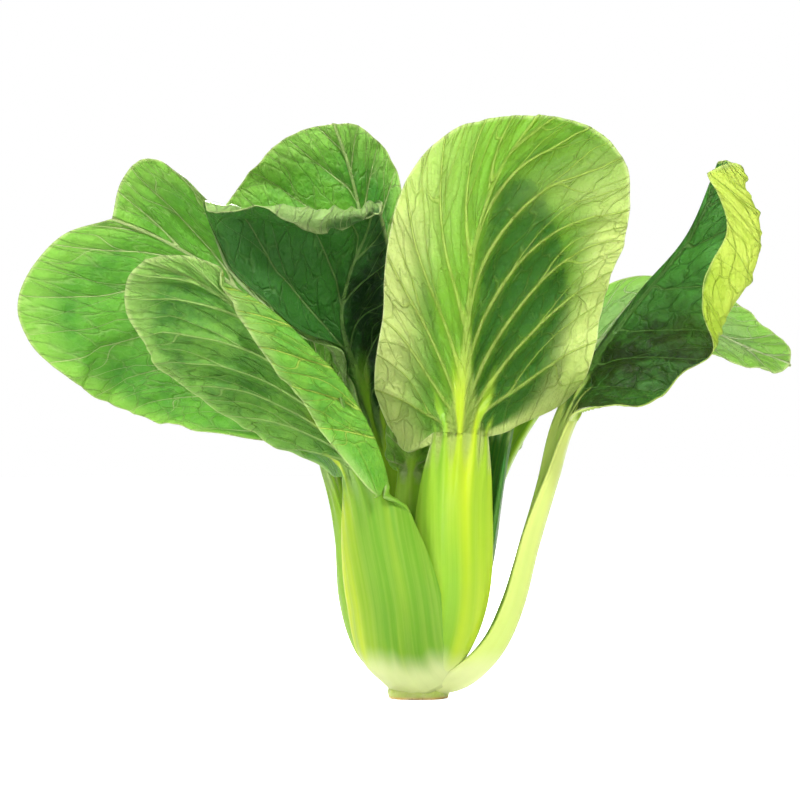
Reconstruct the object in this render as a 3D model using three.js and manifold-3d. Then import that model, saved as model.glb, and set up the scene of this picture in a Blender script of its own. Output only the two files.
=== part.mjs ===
// Bok choy (green-stemmed, Shanghai type), standing on its trimmed butt.
// Units are millimetres, +Z is up, the flat cut face of the butt lies on Z = 0 with its centre at the
// origin, and the front of the head looks along -Y.
//
// A leaf is one thick skin laid over a middle surface. Its spine runs up the middle of the petiole and
// on along the midrib. Its upper face is the one that looks to the middle of the head. Left and right
// halves are as seen on the upper face with the tip up.
//
// spine        points of the petiole and midrib, butt end first
// face         directions the upper face looks to, spread evenly along the spine
// stem         half-widths of the petiole: at the butt, the one that swells its middle, at the neck
// bladeShare   part of the spine's length that carries the blade
// outline      the margin from neck to tip, left half and right half, as points [distance along the blade
//              from the neck, distance from the midrib]; a negative distance along hangs below the neck
// width        greatest half-widths, left and right, of a blade that is a plain oval and has no outline
// cup          degrees each half is cupped towards the upper face
// wave, phase  height of the waves at the margin and where along it they start
// fan          below 1 the side veins spread quickly at the neck
// crowd        above 1 the side veins leave the midrib crowded near the neck
// rolls        places where a half is folded or rolled: turn in degrees towards the upper face over a
//              strip that starts at a distance from the midrib (start) or from the margin (inset), along
//              a stretch of the blade (from, to; 0 neck, 1 tip) that fades in over soft; an inset roll
//              also narrows where it fades
// stemThick    thickness of the petiole at its middle, at the butt and at the neck
// veins        pairs of side veins
// stemRows, columns   facets along the petiole and across the leaf

import * as THREE from 'three';
import { mergeVertices } from 'three/addons/utils/BufferGeometryUtils.js';
import Module from 'manifold-3d';

const wasm = await Module();
wasm.setup();

const LEFT = 0;
const RIGHT = 1;

// Skin and ribs
const BLADE_THICK = 0.9;
const STEM_EDGE_THICK = 1.7;
const RIB_SHARE_OUTSIDE = 0.8;
const VEIN_HEIGHT = 0.45;
const TIP_RIB_HEIGHT = 0.5;
const TIP_RIB_REACH = 1.6;
const RIB_TAPER = 2.2;
const RIB_NARROWING = 5;
const GUTTER = 35;

// Waves along the margin, and the broad swells of the blade in radians for each millimetre
const WAVES = 3;
const WAVE_SHIFT = 1.7;
const SWELL_HEIGHT = 1.2;
const SWELL_PACE_ALONG = 0.11;
const SWELL_PACE_ACROSS = 0.13;

// A roll never starts nearer to the midrib than this part of the half's width
const INSET_LIMIT = 0.3;

// Columns of facets stand closer at the midrib above 1; side veins leave it steeply below 1
const COLUMN_POWER = 1.1;
const VEIN_POWER = 0.85;

// Room left between neighbours
const LEAF_GAP = 0.35;

// How closely facets keep to the curved skin, how near points are joined, and where the last vein ends
const FACET_TOLERANCE = 0.05;
const JOIN_DISTANCE = 0.001;
const LAST_VEIN = 0.9995;

// Butt
const CUT_RADIUS = 9.7;
const BUTT_HEIGHT = 15;

const LEAF_COLOUR = 0x6fa83a;
const BUTT_COLOUR = 0xd9c08c;

// Margin of a plain oval half: parts of the blade's length and of its half-width
const OVAL = [[0.07, 0.86], [0.3, 1], [0.65, 0.95], [0.93, 0.56]];

const DEFAULTS = {
  cup: [20, 20],
  wave: 2,
  phase: 0,
  fan: 0.72,
  crowd: 1.9,
  rolls: [],
  stemThick: [7, 4],
  veins: 7,
  stemRows: 7,
  columns: 10,
};

// Leaves from the outermost to the heart: each is trimmed clear of the ones before it.
const LEAVES = {
  leaf_right: {
    spine: [[4, -2, 6], [15, -5, 9], [25, -6, 18.5], [32, -6, 33], [38, -5, 54], [44.5, -3, 74],
      [50.6, -1, 95], [62, 3, 117], [78, 5, 138], [94, 5, 158], [105.5, 1, 184]],
    face: [[-0.4, 0.1, 1], [-1, 0, 0.6], [-1, 0, 0.3], [-0.9, -0.4, 0.3], [-0.4, -0.9, 0.3],
      [-0.4, -0.85, 0.3], [-0.4, -0.85, 0.2]],
    stem: [10, 11, 5.5],
    bladeShare: 0.46,
    cup: [-20, -10],
    wave: 1.5,
    outline: [
      [[7, 15], [29, 18], [63, 17], [90, 10]],
      [[-9, 11], [-8, 25], [1, 31], [13, 27.5], [31, 30], [45, 38], [60, 43], [76, 39.5], [88, 31],
        [97.5, 14]],
    ],
    rolls: [
      { half: LEFT, turn: -110, over: 6, from: 0.12, to: 9, soft: 0.18, start: 0 },
      { half: RIGHT, turn: 165, over: 8, from: 0.45, to: 9, soft: 0.18, inset: 18 },
      { half: RIGHT, turn: -60, over: 12, from: -0.1, to: 0.16, soft: 0.15, start: 1 },
    ],
  },
  leaf_front_left: {
    spine: [[-1, -5, 5.5], [-7, -17.5, 15], [-10, -26, 34], [-14, -29, 54], [-18, -31, 74], [-26, -34, 93],
      [-40, -39, 112], [-56, -43, 129], [-75, -43, 142], [-91, -40, 148.5]],
    face: [[0.42, 0.9, 0.5], [0.35, 0.95, 0.1], [0.35, 0.95, 0.1], [0.2, 0.95, 0.25], [0.1, 0.97, 0.15],
      [0.05, 0.97, 0.15]],
    stem: [16, 23.5, 8],
    bladeShare: 0.56,
    cup: [0, 12],
    wave: 0.8,
    fan: 0.52,
    crowd: 2.6,
    outline: [
      [[-8, 15], [0, 21], [30, 25], [49, 23], [66, 16], [76, 9.5], [88, 7.5], [99, 4]],
      [[3, 18], [26, 26], [55, 32.5], [80, 33], [98, 27], [106.5, 18], [109, 8]],
    ],
    rolls: [
      { half: LEFT, turn: -172, over: 7, from: -0.1, to: 0.72, soft: 0.12, inset: 17 },
    ],
  },
  leaf_front_right: {
    spine: [[3, -5, 7.5], [9, -17, 19], [12.5, -23, 38], [13, -24, 68], [15, -22, 95], [16.5, -20, 124],
      [19.5, -19, 155], [28, -15, 180], [41, -7, 198.5]],
    face: [[-0.42, 0.9, 0.5], [-0.3, 0.95, 0.1], [-0.1, 1, 0], [0.05, 1, 0], [0.15, 1, -0.1], [0.2, 1, -0.3]],
    stem: [9, 20, 9.5],
    bladeShare: 0.56,
    cup: [18, -8],
    wave: 2.5,
    phase: 0.4,
    fan: 0.52,
    crowd: 2.9,
    outline: [
      [[4, 22], [15, 39], [42, 45], [75, 48], [104, 45], [119, 31], [122, 15]],
      [[-7, 21], [4, 31], [40, 29], [75, 29], [95, 21.5], [109, 9]],
    ],
  },
  leaf_rear_left: {
    spine: [[-4, 6, 10], [-10, 16, 23], [-16, 24, 44], [-21, 31, 68], [-27, 40, 92], [-35, 51, 110],
      [-43, 62, 120], [-50, 71, 124]],
    face: [[0.5, -0.85, 0.5], [0.5, -0.85, 0], [0.4, -0.9, 0.2], [0.3, -0.7, 0.7], [0.15, -0.4, 0.9]],
    stem: [8, 14, 7],
    bladeShare: 0.48,
    width: [18, 20],
    cup: [20, 10],
    wave: 2,
    phase: 1,
    stemThick: [6, 4],
    veins: 5,
    stemRows: 6,
    columns: 8,
  },
  leaf_rear_right: {
    spine: [[4, 6, 10], [9, 16, 23], [12, 24, 45], [14, 31, 68], [18, 41, 89], [24, 53, 105],
      [31, 65, 114], [37, 75, 117]],
    face: [[-0.4, -0.9, 0.5], [-0.3, -0.95, 0], [-0.2, -0.95, 0.2], [-0.1, -0.75, 0.65],
      [0, -0.45, 0.9]],
    stem: [8, 14, 7],
    bladeShare: 0.48,
    width: [22, 20],
    cup: [10, 15],
    wave: 2,
    stemThick: [6, 4],
    veins: 5,
    stemRows: 6,
    columns: 8,
  },
  leaf_far_left: {
    spine: [[-7, 0, 9], [-17, 2, 18], [-23, 4, 35], [-25, 6, 56], [-28, 8, 76], [-35, 8, 98],
      [-44, 9, 118], [-57, 8.5, 135], [-73, 8, 148.5], [-90, 6, 158], [-105, 4, 164]],
    face: [[1, 0, 0.5], [1, 0, 0.1], [0.95, -0.3, 0], [0.7, -0.8, 0.1], [0.25, -1, 0.15], [0.1, -1, 0.1],
      [0, -1, 0.1], [0, -1, 0.1]],
    stem: [8, 14, 7],
    bladeShare: 0.6,
    cup: [-15, 10],
    wave: 2,
    phase: 2.2,
    fan: 0.62,
    crowd: 2.4,
    outline: [
      [[8, 20], [26, 41], [52, 53], [91, 59], [118, 55], [134, 45], [138, 31], [132, 12]],
      [[12, 13], [50, 14], [88, 16], [99, 22], [109, 27], [117, 24], [120, 13]],
    ],
    rolls: [
      { half: RIGHT, turn: 30, over: 12, from: 0.55, to: 9, soft: 0.25, start: 0 },
    ],
  },
  leaf_far_right: {
    spine: [[7, 5, 12], [15, 11, 28], [20, 16, 52], [27, 21, 78], [42, 30, 103], [60, 39, 120],
      [80, 43, 130], [97, 43, 128], [114, 40, 121], [131, 36, 114]],
    face: [[-0.8, -0.4, 0.5], [-0.9, -0.5, 0], [-0.6, -0.6, 0.5], [-0.2, -0.6, 0.8], [0, -0.6, 0.8],
      [0.1, -0.6, 0.8]],
    stem: [6, 11, 6],
    bladeShare: 0.48,
    width: [20, 18],
    cup: [20, 20],
    wave: 1.5,
    veins: 6,
    stemRows: 6,
    columns: 8,
  },
  leaf_cupped_left: {
    spine: [[-5, 4, 13], [-11, 9, 32], [-13, 13, 58], [-14, 14, 84], [-19, 11, 104], [-26, 7, 127],
      [-24, 1, 143], [-18, -5, 158], [-15, -11, 167], [-13, -16, 167.5], [-12.5, -19, 165]],
    face: [[0.6, -0.8, 0.5], [0.5, -0.85, 0], [0.4, -0.9, 0], [0.35, -0.93, 0.1], [0.35, -0.9, 0.1],
      [0.3, -0.3, -0.9]],
    stem: [6, 12, 6],
    bladeShare: 0.52,
    cup: [-13, 20],
    wave: 1.5,
    fan: 0.85,
    outline: [
      [[14, 7], [30, 11], [43, 28], [53, 45], [63, 58], [76, 57], [80, 46], [86, 32], [88.5, 15]],
      [[10, 14], [40, 19], [62, 13], [78, 4]],
    ],
    rolls: [
      { half: LEFT, turn: 35, over: 10, from: -0.1, to: 0.45, soft: 0.3, start: 0 },
      { half: LEFT, turn: 90, over: 5, from: 0.0, to: 0.6, soft: 0.12, inset: 5 },
      { half: RIGHT, turn: 35, over: 6, from: 0.12, to: 9, soft: 0.18, start: 0 },
    ],
  },
  leaf_back_left: {
    spine: [[-1, 8, 13], [-5, 17, 36], [-8, 24, 70], [-12, 29, 104], [-16, 31, 136], [-20, 31, 166],
      [-24, 28, 183], [-29, 20.5, 197.8]],
    face: [[0, -1, 0.5], [0, -1, 0], [0, -1, 0], [0, -1, 0.05], [0, -1, 0.1]],
    stem: [6, 12, 6],
    bladeShare: 0.512,
    cup: [5, 25],
    wave: 2,
    phase: 1,
    outline: [
      [[5, 26], [20, 41], [56, 51], [79, 45.5], [88.5, 38], [96.5, 26], [100, 13]],
      [[6, 12], [35, 14], [62, 16.5], [79, 15.5], [88.5, 12], [96, 6]],
    ],
  },
  leaf_back_right: {
    spine: [[6, 1, 13], [14.5, 2, 24], [20.5, 3, 44], [24.5, 4, 70], [28, 10, 92], [32, 16, 116],
      [34.5, 17, 143], [34, 14, 170], [31, 10, 187]],
    face: [[-0.9, -0.1, 0.4], [-0.9, -0.5, 0], [-0.7, -0.7, 0], [-0.3, -1, 0], [-0.1, -1, 0],
      [-0.1, -1, -0.2]],
    stem: [6, 12, 6],
    bladeShare: 0.52,
    width: [15, 17],
    cup: [20, 10],
    wave: 1.2,
    veins: 6,
    stemRows: 6,
    columns: 8,
  },
  leaf_back_centre: {
    spine: [[2, 4, 14], [5, 9, 34], [6, 13.5, 70], [4, 17.5, 104], [1, 19.5, 136], [0, 19, 160],
      [1, 15, 178]],
    face: [[0, -1, 0.4], [0, -1, 0], [0, -1, 0], [0.1, -1, 0], [0.1, -1, -0.1]],
    stem: [5, 10, 5],
    bladeShare: 0.5,
    width: [13, 11],
    cup: [20, 20],
    wave: 1,
    rolls: [
      { half: RIGHT, turn: 60, over: 4, from: 0.1, to: 9, soft: 0.15, start: 0 },
    ],
    veins: 5,
    stemRows: 6,
    columns: 8,
  },
  leaf_heart_left: {
    spine: [[-2, -2, 16], [-3, -6, 36], [-3, -8, 64], [-2, -8, 90], [-1, -6, 112]],
    face: [[0.3, 0.9, 0.4], [0.2, 0.95, 0], [0.1, 0.95, 0], [0, 0.9, -0.2]],
    stem: [4, 8, 4.5],
    bladeShare: 0.36,
    width: [11, 11],
    cup: [60, 60],
    wave: 1,
    phase: 1,
    stemThick: [4.5, 2.8],
    veins: 4,
    stemRows: 5,
    columns: 6,
  },
  leaf_heart_right: {
    spine: [[3, 0, 17], [7, 1, 36], [9, 1, 60], [9.5, 1, 84], [8, -1, 104]],
    face: [[-1, 0, 0.4], [-1, -0.3, 0], [-0.8, -0.6, 0], [-0.6, -0.8, -0.2]],
    stem: [4, 8, 4.5],
    bladeShare: 0.36,
    width: [10, 10],
    cup: [60, 60],
    wave: 1,
    phase: 1,
    stemThick: [4.5, 2.8],
    veins: 4,
    stemRows: 5,
    columns: 6,
  },
};

function clamp(x, low, high) {
  return Math.min(Math.max(x, low), high);
}

function mix(a, b, t) {
  return a + (b - a) * t;
}

function smooth(x, low, high) {
  const t = clamp((x - low) / (high - low), 0, 1);
  return t * t * (3 - 2 * t);
}

// A table of places along a curve through the points, read by distance.
function curveTable(points, steps) {
  const vectors = points.map((p) => new THREE.Vector3(...p));
  const last = vectors.length - 1;
  const before = vectors[0].clone().multiplyScalar(2).sub(vectors[1]);
  const after = vectors[last].clone().multiplyScalar(2).sub(vectors[last - 1]);
  const knots = [before, ...vectors, after];
  const curve = new THREE.CatmullRomCurve3(knots, false, 'catmullrom', 0.5);
  const table = [];
  for (let i = 0; i <= steps; i += 1) {
    table.push(curve.getPoint((1 + (i / steps) * last) / (last + 2)));
  }
  return table;
}

function read(table, t) {
  const place = clamp(t, 0, 1) * (table.length - 1);
  const low = Math.min(Math.floor(place), table.length - 2);
  return table[low].clone().lerp(table[low + 1], place - low);
}

// The same curve as points that stand evenly along it, and its length.
function evenTable(points, steps) {
  const raw = curveTable(points, 800);
  const travelled = [0];
  for (let i = 1; i < raw.length; i += 1) {
    travelled.push(travelled[i - 1] + raw[i].distanceTo(raw[i - 1]));
  }
  const length = travelled[travelled.length - 1];
  const table = [];
  let k = 0;
  for (let i = 0; i <= steps; i += 1) {
    const want = (length * i) / steps;
    while (k < raw.length - 2 && travelled[k + 1] < want) {
      k += 1;
    }
    const part = (want - travelled[k]) / (travelled[k + 1] - travelled[k]);
    table.push(raw[k].clone().lerp(raw[k + 1], part));
  }
  return { table, length };
}

class Spine {
  constructor(points, face) {
    const { table, length } = evenTable(points, 400);
    this.points = table;
    this.length = length;
    this.face = curveTable(face, 400);
  }

  // Centre, direction, upper-face direction and sideways direction at a distance along the spine.
  at(s) {
    const t = s / this.length;
    const step = 0.004;
    const ahead = read(this.points, t + step);
    const behind = read(this.points, t - step);
    const along = ahead.sub(behind).normalize();
    const up = read(this.face, t);
    up.addScaledVector(along, -up.dot(along)).normalize();
    const side = new THREE.Vector3().crossVectors(along, up);
    const centre = read(this.points, t);
    centre.addScaledVector(along, s - clamp(s, 0, this.length));
    return { centre, along, up, side };
  }
}

function prepare(shape) {
  const leaf = { ...DEFAULTS, ...shape };
  leaf.line = new Spine(leaf.spine, leaf.face);
  leaf.blade = leaf.line.length * leaf.bladeShare;
  leaf.neck = leaf.line.length - leaf.blade;
  const oval = (width) => OVAL.map(([along, across]) => [along * leaf.blade, across * width]);
  const halves = leaf.outline ?? leaf.width.map(oval);
  leaf.curves = halves.map((half) => {
    const points = [[0, leaf.stem[2]], ...half, [leaf.blade, 0]];
    return evenTable(points.map(([a, b]) => [a, b, 0]), 400).table;
  });
  leaf.width = leaf.curves.map((curve) => Math.max(...curve.map((point) => point.y)));
  leaf.margins = leaf.curves.map(outerMargin);
  return leaf;
}

// The margin from its lowest point up to its highest, as rising places along the blade.
function outerMargin(curve) {
  const lowest = curve.reduce((best, point, i) => (point.x < curve[best].x ? i : best), 0);
  const table = [];
  let highest = -Infinity;
  for (const point of curve.slice(lowest)) {
    highest = Math.max(highest, point.x);
    table.push([highest, Math.max(point.y, 0)]);
  }
  return table;
}

// Margin end of the side vein r (0 at the neck, 1 at the tip): a along the blade, b across it.
function marginPoint(leaf, r, half) {
  const { x, y } = read(leaf.curves[half], r ** leaf.fan);
  return { a: x, b: Math.max(y, 0) };
}

function halfWidthAt(leaf, x, half) {
  const table = leaf.margins[half];
  const a = x * leaf.blade;
  if (a <= table[0][0]) {
    return table[0][1];
  }
  for (let i = 1; i < table.length; i += 1) {
    if (a < table[i][0]) {
      const [a0, b0] = table[i - 1];
      const [a1, b1] = table[i];
      return mix(b0, b1, (a - a0) / (a1 - a0));
    }
  }
  return table[table.length - 1][1];
}

function stemHalfWidth(leaf, t) {
  const x = clamp(t, 0, 1);
  const [butt, middle, neck] = leaf.stem;
  return butt * (1 - x) ** 2 + 2 * middle * x * (1 - x) + neck * x * x;
}

// Angle the skin has turned towards its upper face at a distance q from the midrib.
function turnAt(leaf, s, q, half, edge) {
  const x = (s - leaf.neck) / leaf.blade;
  const stem = 1 - smooth(x, -0.05, 0.25);
  let turn = stem * GUTTER * clamp(q / stemHalfWidth(leaf, s / leaf.neck), 0, 1.6);
  turn += leaf.cup[half] * (q / leaf.width[half]) * smooth(x, -0.1, 0.35);
  for (const roll of leaf.rolls) {
    if (roll.half !== half) {
      continue;
    }
    const fadeIn = smooth(x, roll.from - roll.soft, roll.from + roll.soft);
    const fadeOut = 1 - smooth(x, roll.to - roll.soft, roll.to + roll.soft);
    const share = fadeIn * fadeOut;
    const atMargin = roll.inset !== undefined;
    const start = atMargin ? Math.max(edge - roll.inset * share, INSET_LIMIT * edge) : roll.start;
    const strength = atMargin ? Math.sqrt(share) : share;
    turn += roll.turn * smooth(q, start, start + roll.over) * strength;
  }
  return THREE.MathUtils.degToRad(turn);
}

// Point of the middle surface at distance s along the spine and b across it.
function middlePoint(leaf, s, b) {
  const { centre, up, side } = leaf.line.at(s);
  const half = b < 0 ? LEFT : RIGHT;
  const x = (s - leaf.neck) / leaf.blade;
  const edge = halfWidthAt(leaf, x, half);
  const steps = 16;
  let across = 0;
  let rise = 0;
  for (let i = 0; i < steps; i += 1) {
    const turn = turnAt(leaf, s, (Math.abs(b) * (i + 0.5)) / steps, half, edge);
    across += (Math.cos(turn) * b) / steps;
    rise += (Math.sin(turn) * Math.abs(b)) / steps;
  }
  const out = Math.abs(b) / Math.max(...leaf.width);
  const phase = leaf.phase + (half === LEFT ? 0 : WAVE_SHIFT);
  const settle = smooth(x, 0, 0.3);
  const swellAlong = Math.sin(s * SWELL_PACE_ALONG + leaf.phase);
  const swellAcross = Math.sin(b * SWELL_PACE_ACROSS + 2 * leaf.phase);
  rise += leaf.wave * out * out * Math.sin(2 * Math.PI * WAVES * x + phase) * settle;
  rise += SWELL_HEIGHT * swellAlong * swellAcross * settle;
  return centre.addScaledVector(side, across).addScaledVector(up, rise);
}

// Thickness of the skin without its rib, and the height the rib adds over it.
function thicknessAt(leaf, s, b) {
  const x = (s - leaf.neck) / leaf.blade;
  const skin = mix(STEM_EDGE_THICK, BLADE_THICK, smooth(x, -0.4, 0.1));
  const [butt, neck] = leaf.stemThick;
  const taper = clamp(1 - x, 0, 1);
  const height = x < 0
    ? mix(butt, neck, smooth(s / leaf.neck, 0, 1)) - skin
    : TIP_RIB_HEIGHT + (neck - skin - TIP_RIB_HEIGHT) * taper ** RIB_TAPER;
  const reach = x < 0
    ? stemHalfWidth(leaf, s / leaf.neck)
    : TIP_RIB_REACH + (leaf.stem[2] - TIP_RIB_REACH) * taper ** RIB_NARROWING;
  const q = clamp(Math.abs(b) / reach, 0, 1);
  return { skin, rib: height * (1 - q * q) ** 1.2 };
}

// Side veins stand closer together at the neck and at the tip.
function veinPlace(t) {
  return t / 2 + (1 - Math.cos(Math.PI * t)) / 4;
}

// Rows follow the side veins and the lines midway between them; columns run from margin to margin.
function leafGrid(leaf, grow) {
  const rows = [];
  const columns = leaf.columns;
  const bladeRows = 2 * leaf.veins + 2;
  const vs = [];
  for (let j = 0; j <= columns; j += 1) {
    vs.push((2 * j) / columns - 1);
  }
  for (let i = 0; i < leaf.stemRows; i += 1) {
    const s = (leaf.neck * i) / leaf.stemRows;
    const half = stemHalfWidth(leaf, s / leaf.neck) + grow;
    rows.push(vs.map((v) => ({
      s: i ? s : s - grow,
      b: Math.sign(v) * Math.abs(v) ** COLUMN_POWER * half,
      vein: 0,
    })));
  }
  for (let i = 0; i <= bladeRows; i += 1) {
    const t = i / bladeRows;
    const r = Math.min(veinPlace(t), LAST_VEIN);
    const along = leaf.blade * r ** leaf.crowd;
    rows.push(vs.map((v) => {
      const q = Math.abs(v);
      const end = marginPoint(leaf, r, v < 0 ? LEFT : RIGHT);
      const onVein = i % 2 === 0 && i > 0 && i < bladeRows ? 1 : 0;
      return {
        s: leaf.neck + along + (end.a - along) * q ** VEIN_POWER + (i === bladeRows ? grow : 0),
        b: Math.sign(v) * q ** COLUMN_POWER * (end.b + grow),
        vein: onVein * smooth(q, 0, 0.2) * (1 - smooth(q, 0.8, 1)),
      };
    }));
  }
  return rows;
}

function quad(faces, a, b, c, d) {
  faces.push(a, b, c, a, c, d);
}

// Closed skin of a leaf; grow swells it on every side.
function leafSkin(leaf, grow) {
  const rows = leafGrid(leaf, grow);
  const points = rows.map((row) => row.map((cell) => middlePoint(leaf, cell.s, cell.b)));
  const height = rows.length;
  const width = rows[0].length;
  const upper = [];
  const lower = [];
  for (let i = 0; i < height; i += 1) {
    for (let j = 0; j < width; j += 1) {
      const ahead = points[Math.min(i + 1, height - 1)][j];
      const behind = points[Math.max(i - 1, 0)][j];
      const right = points[i][Math.min(j + 1, width - 1)];
      const left = points[i][Math.max(j - 1, 0)];
      const normal = right.clone().sub(left).cross(ahead.clone().sub(behind)).normalize();
      const cell = rows[i][j];
      const { skin, rib } = thicknessAt(leaf, cell.s, cell.b);
      const press = VEIN_HEIGHT * cell.vein;
      const over = skin / 2 + rib * (1 - RIB_SHARE_OUTSIDE) - press + grow;
      const under = skin / 2 + rib * RIB_SHARE_OUTSIDE + press + grow;
      upper.push(points[i][j].clone().addScaledVector(normal, over));
      lower.push(points[i][j].clone().addScaledVector(normal, -under));
    }
  }
  const count = height * width;
  const faces = [];
  for (let i = 0; i < height - 1; i += 1) {
    for (let j = 0; j < width - 1; j += 1) {
      const a = i * width + j;
      const b = a + 1;
      const c = a + width + 1;
      const d = a + width;
      quad(faces, a, b, c, d);
      quad(faces, count + d, count + c, count + b, count + a);
    }
    const start = i * width;
    const end = start + width - 1;
    quad(faces, start + width, count + start + width, count + start, start);
    quad(faces, end, count + end, count + end + width, end + width);
  }
  for (let j = 0; j < width - 1; j += 1) {
    const top = (height - 1) * width + j;
    quad(faces, j + 1, j, count + j, count + j + 1);
    quad(faces, top, top + 1, count + top + 1, count + top);
  }
  return solidFrom([...upper, ...lower], faces);
}

function solidFrom(points, faces) {
  const vertProperties = new Float32Array(points.flatMap((p) => [p.x, p.y, p.z]));
  const mesh = new wasm.Mesh({ numProp: 3, vertProperties, triVerts: new Uint32Array(faces) });
  return new wasm.Manifold(mesh);
}

function largestPiece(solid) {
  const pieces = solid.decompose();
  return pieces.reduce((best, piece) => (piece.volume() > best.volume() ? piece : best));
}

function geometryFrom(solid) {
  const mesh = solid.getMesh();
  const geometry = new THREE.BufferGeometry();
  geometry.setAttribute('position', new THREE.BufferAttribute(mesh.vertProperties, 3));
  geometry.setIndex(new THREE.BufferAttribute(mesh.triVerts, 1));
  const merged = mergeVertices(geometry, JOIN_DISTANCE);
  merged.computeVertexNormals();
  return merged;
}

// The short stem the leaves stand on: a flat cut face below, a blunt dome inside the leaf bases.
function buttSolid(grow) {
  const around = 32;
  const profile = [
    [0, CUT_RADIUS - 0.4],
    [0.6, CUT_RADIUS],
    [3, CUT_RADIUS + 0.3],
    [6, CUT_RADIUS - 0.6],
    [10, CUT_RADIUS * 0.7],
    [BUTT_HEIGHT - 1, CUT_RADIUS * 0.35],
  ];
  const points = [];
  const faces = [];
  profile.forEach(([z, radius], level) => {
    for (let i = 0; i < around; i += 1) {
      const angle = (2 * Math.PI * i) / around;
      const ragged = level === 0 ? 0 : 0.25 * Math.sin(5 * angle) + 0.15 * Math.sin(11 * angle + 1);
      const reach = radius + ragged + grow;
      const height = level === 0 ? z - grow : z;
      points.push(new THREE.Vector3(Math.cos(angle) * reach, Math.sin(angle) * reach, height));
    }
  });
  for (let level = 0; level < profile.length - 1; level += 1) {
    for (let i = 0; i < around; i += 1) {
      const next = (i + 1) % around;
      const low = level * around;
      quad(faces, low + i, low + next, low + around + next, low + around + i);
    }
  }
  const bottom = points.length;
  points.push(new THREE.Vector3(0, 0, -grow));
  points.push(new THREE.Vector3(0, 0, BUTT_HEIGHT + grow));
  const topRing = (profile.length - 1) * around;
  for (let i = 0; i < around; i += 1) {
    const next = (i + 1) % around;
    faces.push(bottom, next, i);
    faces.push(bottom + 1, topRing + i, topRing + next);
  }
  return solidFrom(points, faces);
}

function meshOf(name, solid, colour, roughness) {
  const material = new THREE.MeshStandardMaterial({ color: colour, roughness, metalness: 0 });
  const mesh = new THREE.Mesh(geometryFrom(solid), material);
  mesh.name = name;
  return mesh;
}

const bokChoy = new THREE.Group();
bokChoy.name = 'bok_choy';

let taken = buttSolid(LEAF_GAP);
bokChoy.add(meshOf('butt', buttSolid(0), BUTT_COLOUR, 0.8));

for (const [name, shape] of Object.entries(LEAVES)) {
  const leaf = prepare(shape);
  const trimmed = largestPiece(leafSkin(leaf, 0).subtract(taken).simplify(FACET_TOLERANCE));
  bokChoy.add(meshOf(name, trimmed, LEAF_COLOUR, 0.5));
  taken = taken.add(leafSkin(leaf, LEAF_GAP));
}

export default bokChoy;
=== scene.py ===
"""Bok choy: a head of green-stemmed leaf cabbage on its trimmed butt, finished leaf by leaf.

Every leaf is one closed skin over a middle surface. The sizes below are in millimetres and are the solids'
own, but for a sharper fold on the front left leaf, the vein spread of the cupped leaf, a thinner blade and
midrib, higher side veins, and the bulges, ripples and ridges that only the finished leaves have. The mesh
is in metres, in the row's frame (+Z up, the front looks along -Y).
"""
import math

import bpy
import numpy as np
from bpy.props import FloatProperty, FloatVectorProperty, IntProperty, PointerProperty
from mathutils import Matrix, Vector


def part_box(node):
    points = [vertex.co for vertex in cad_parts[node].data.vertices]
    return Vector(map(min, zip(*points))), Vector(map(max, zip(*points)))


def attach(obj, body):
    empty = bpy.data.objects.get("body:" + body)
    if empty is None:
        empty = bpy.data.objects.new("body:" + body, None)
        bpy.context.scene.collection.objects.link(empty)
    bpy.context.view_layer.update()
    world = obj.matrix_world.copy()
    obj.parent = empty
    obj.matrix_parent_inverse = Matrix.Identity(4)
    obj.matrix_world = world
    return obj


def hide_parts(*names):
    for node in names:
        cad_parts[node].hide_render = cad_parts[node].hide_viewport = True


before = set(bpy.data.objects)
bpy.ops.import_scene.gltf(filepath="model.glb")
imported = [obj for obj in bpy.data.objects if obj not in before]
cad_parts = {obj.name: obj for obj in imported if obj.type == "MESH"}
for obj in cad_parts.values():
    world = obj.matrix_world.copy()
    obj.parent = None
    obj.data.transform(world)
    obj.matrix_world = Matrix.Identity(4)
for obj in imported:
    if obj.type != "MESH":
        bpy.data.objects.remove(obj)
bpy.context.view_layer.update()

bl_info = {
    "name": "Bok Choy",
    "version": (1, 0, 0),
    "blender": (4, 5, 0),
    "location": "View3D > Sidebar > Bok Choy",
    "description": "Builds a head of bok choy: veined leaves, streaked leaf stalks and a trimmed butt",
    "category": "Add Mesh",
}

MM = 0.001
LEFT, RIGHT = 0, 1

# ---- Leaf dimensions, outermost first ----------------------------
# spine        points of the leaf stalk and midrib, butt end first
# face         directions the upper face looks to, spread evenly along the spine
# stem         half-widths of the stalk: at the butt, the one that swells its middle, at the neck
# blade_share  part of the spine's length that carries the blade
# outline      the margin from neck to tip of the left and the right half (as seen on the upper face, tip
#              up): points (distance along the blade from the neck, distance from the midrib)
# width        greatest half-widths, left and right, of a blade that is a plain oval and has no outline
# cup          degrees each half is cupped towards the upper face
# wave, phase  height of the waves at the margin and where along it they start
# fan          below 1 the side veins spread quickly at the neck
# crowd        above 1 the side veins leave the midrib crowded near the neck
# rolls        folds and rolls: (half, degrees towards the upper face, width of the bend, from, to, fade
#              along the blade, name of the place it starts from, that place)
# stem_thick   thickness of the stalk at its middle, at the butt and at the neck
# veins        pairs of side veins
# lanes        part of the blade over which the ridges of the stalk run out
LEAF_DEFAULTS = dict(
    cup=(20, 20), wave=2, phase=0, fan=0.72, crowd=1.9, outline=(), rolls=(), stem_thick=(7, 4), veins=7,
    lanes=0.32,
)
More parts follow.
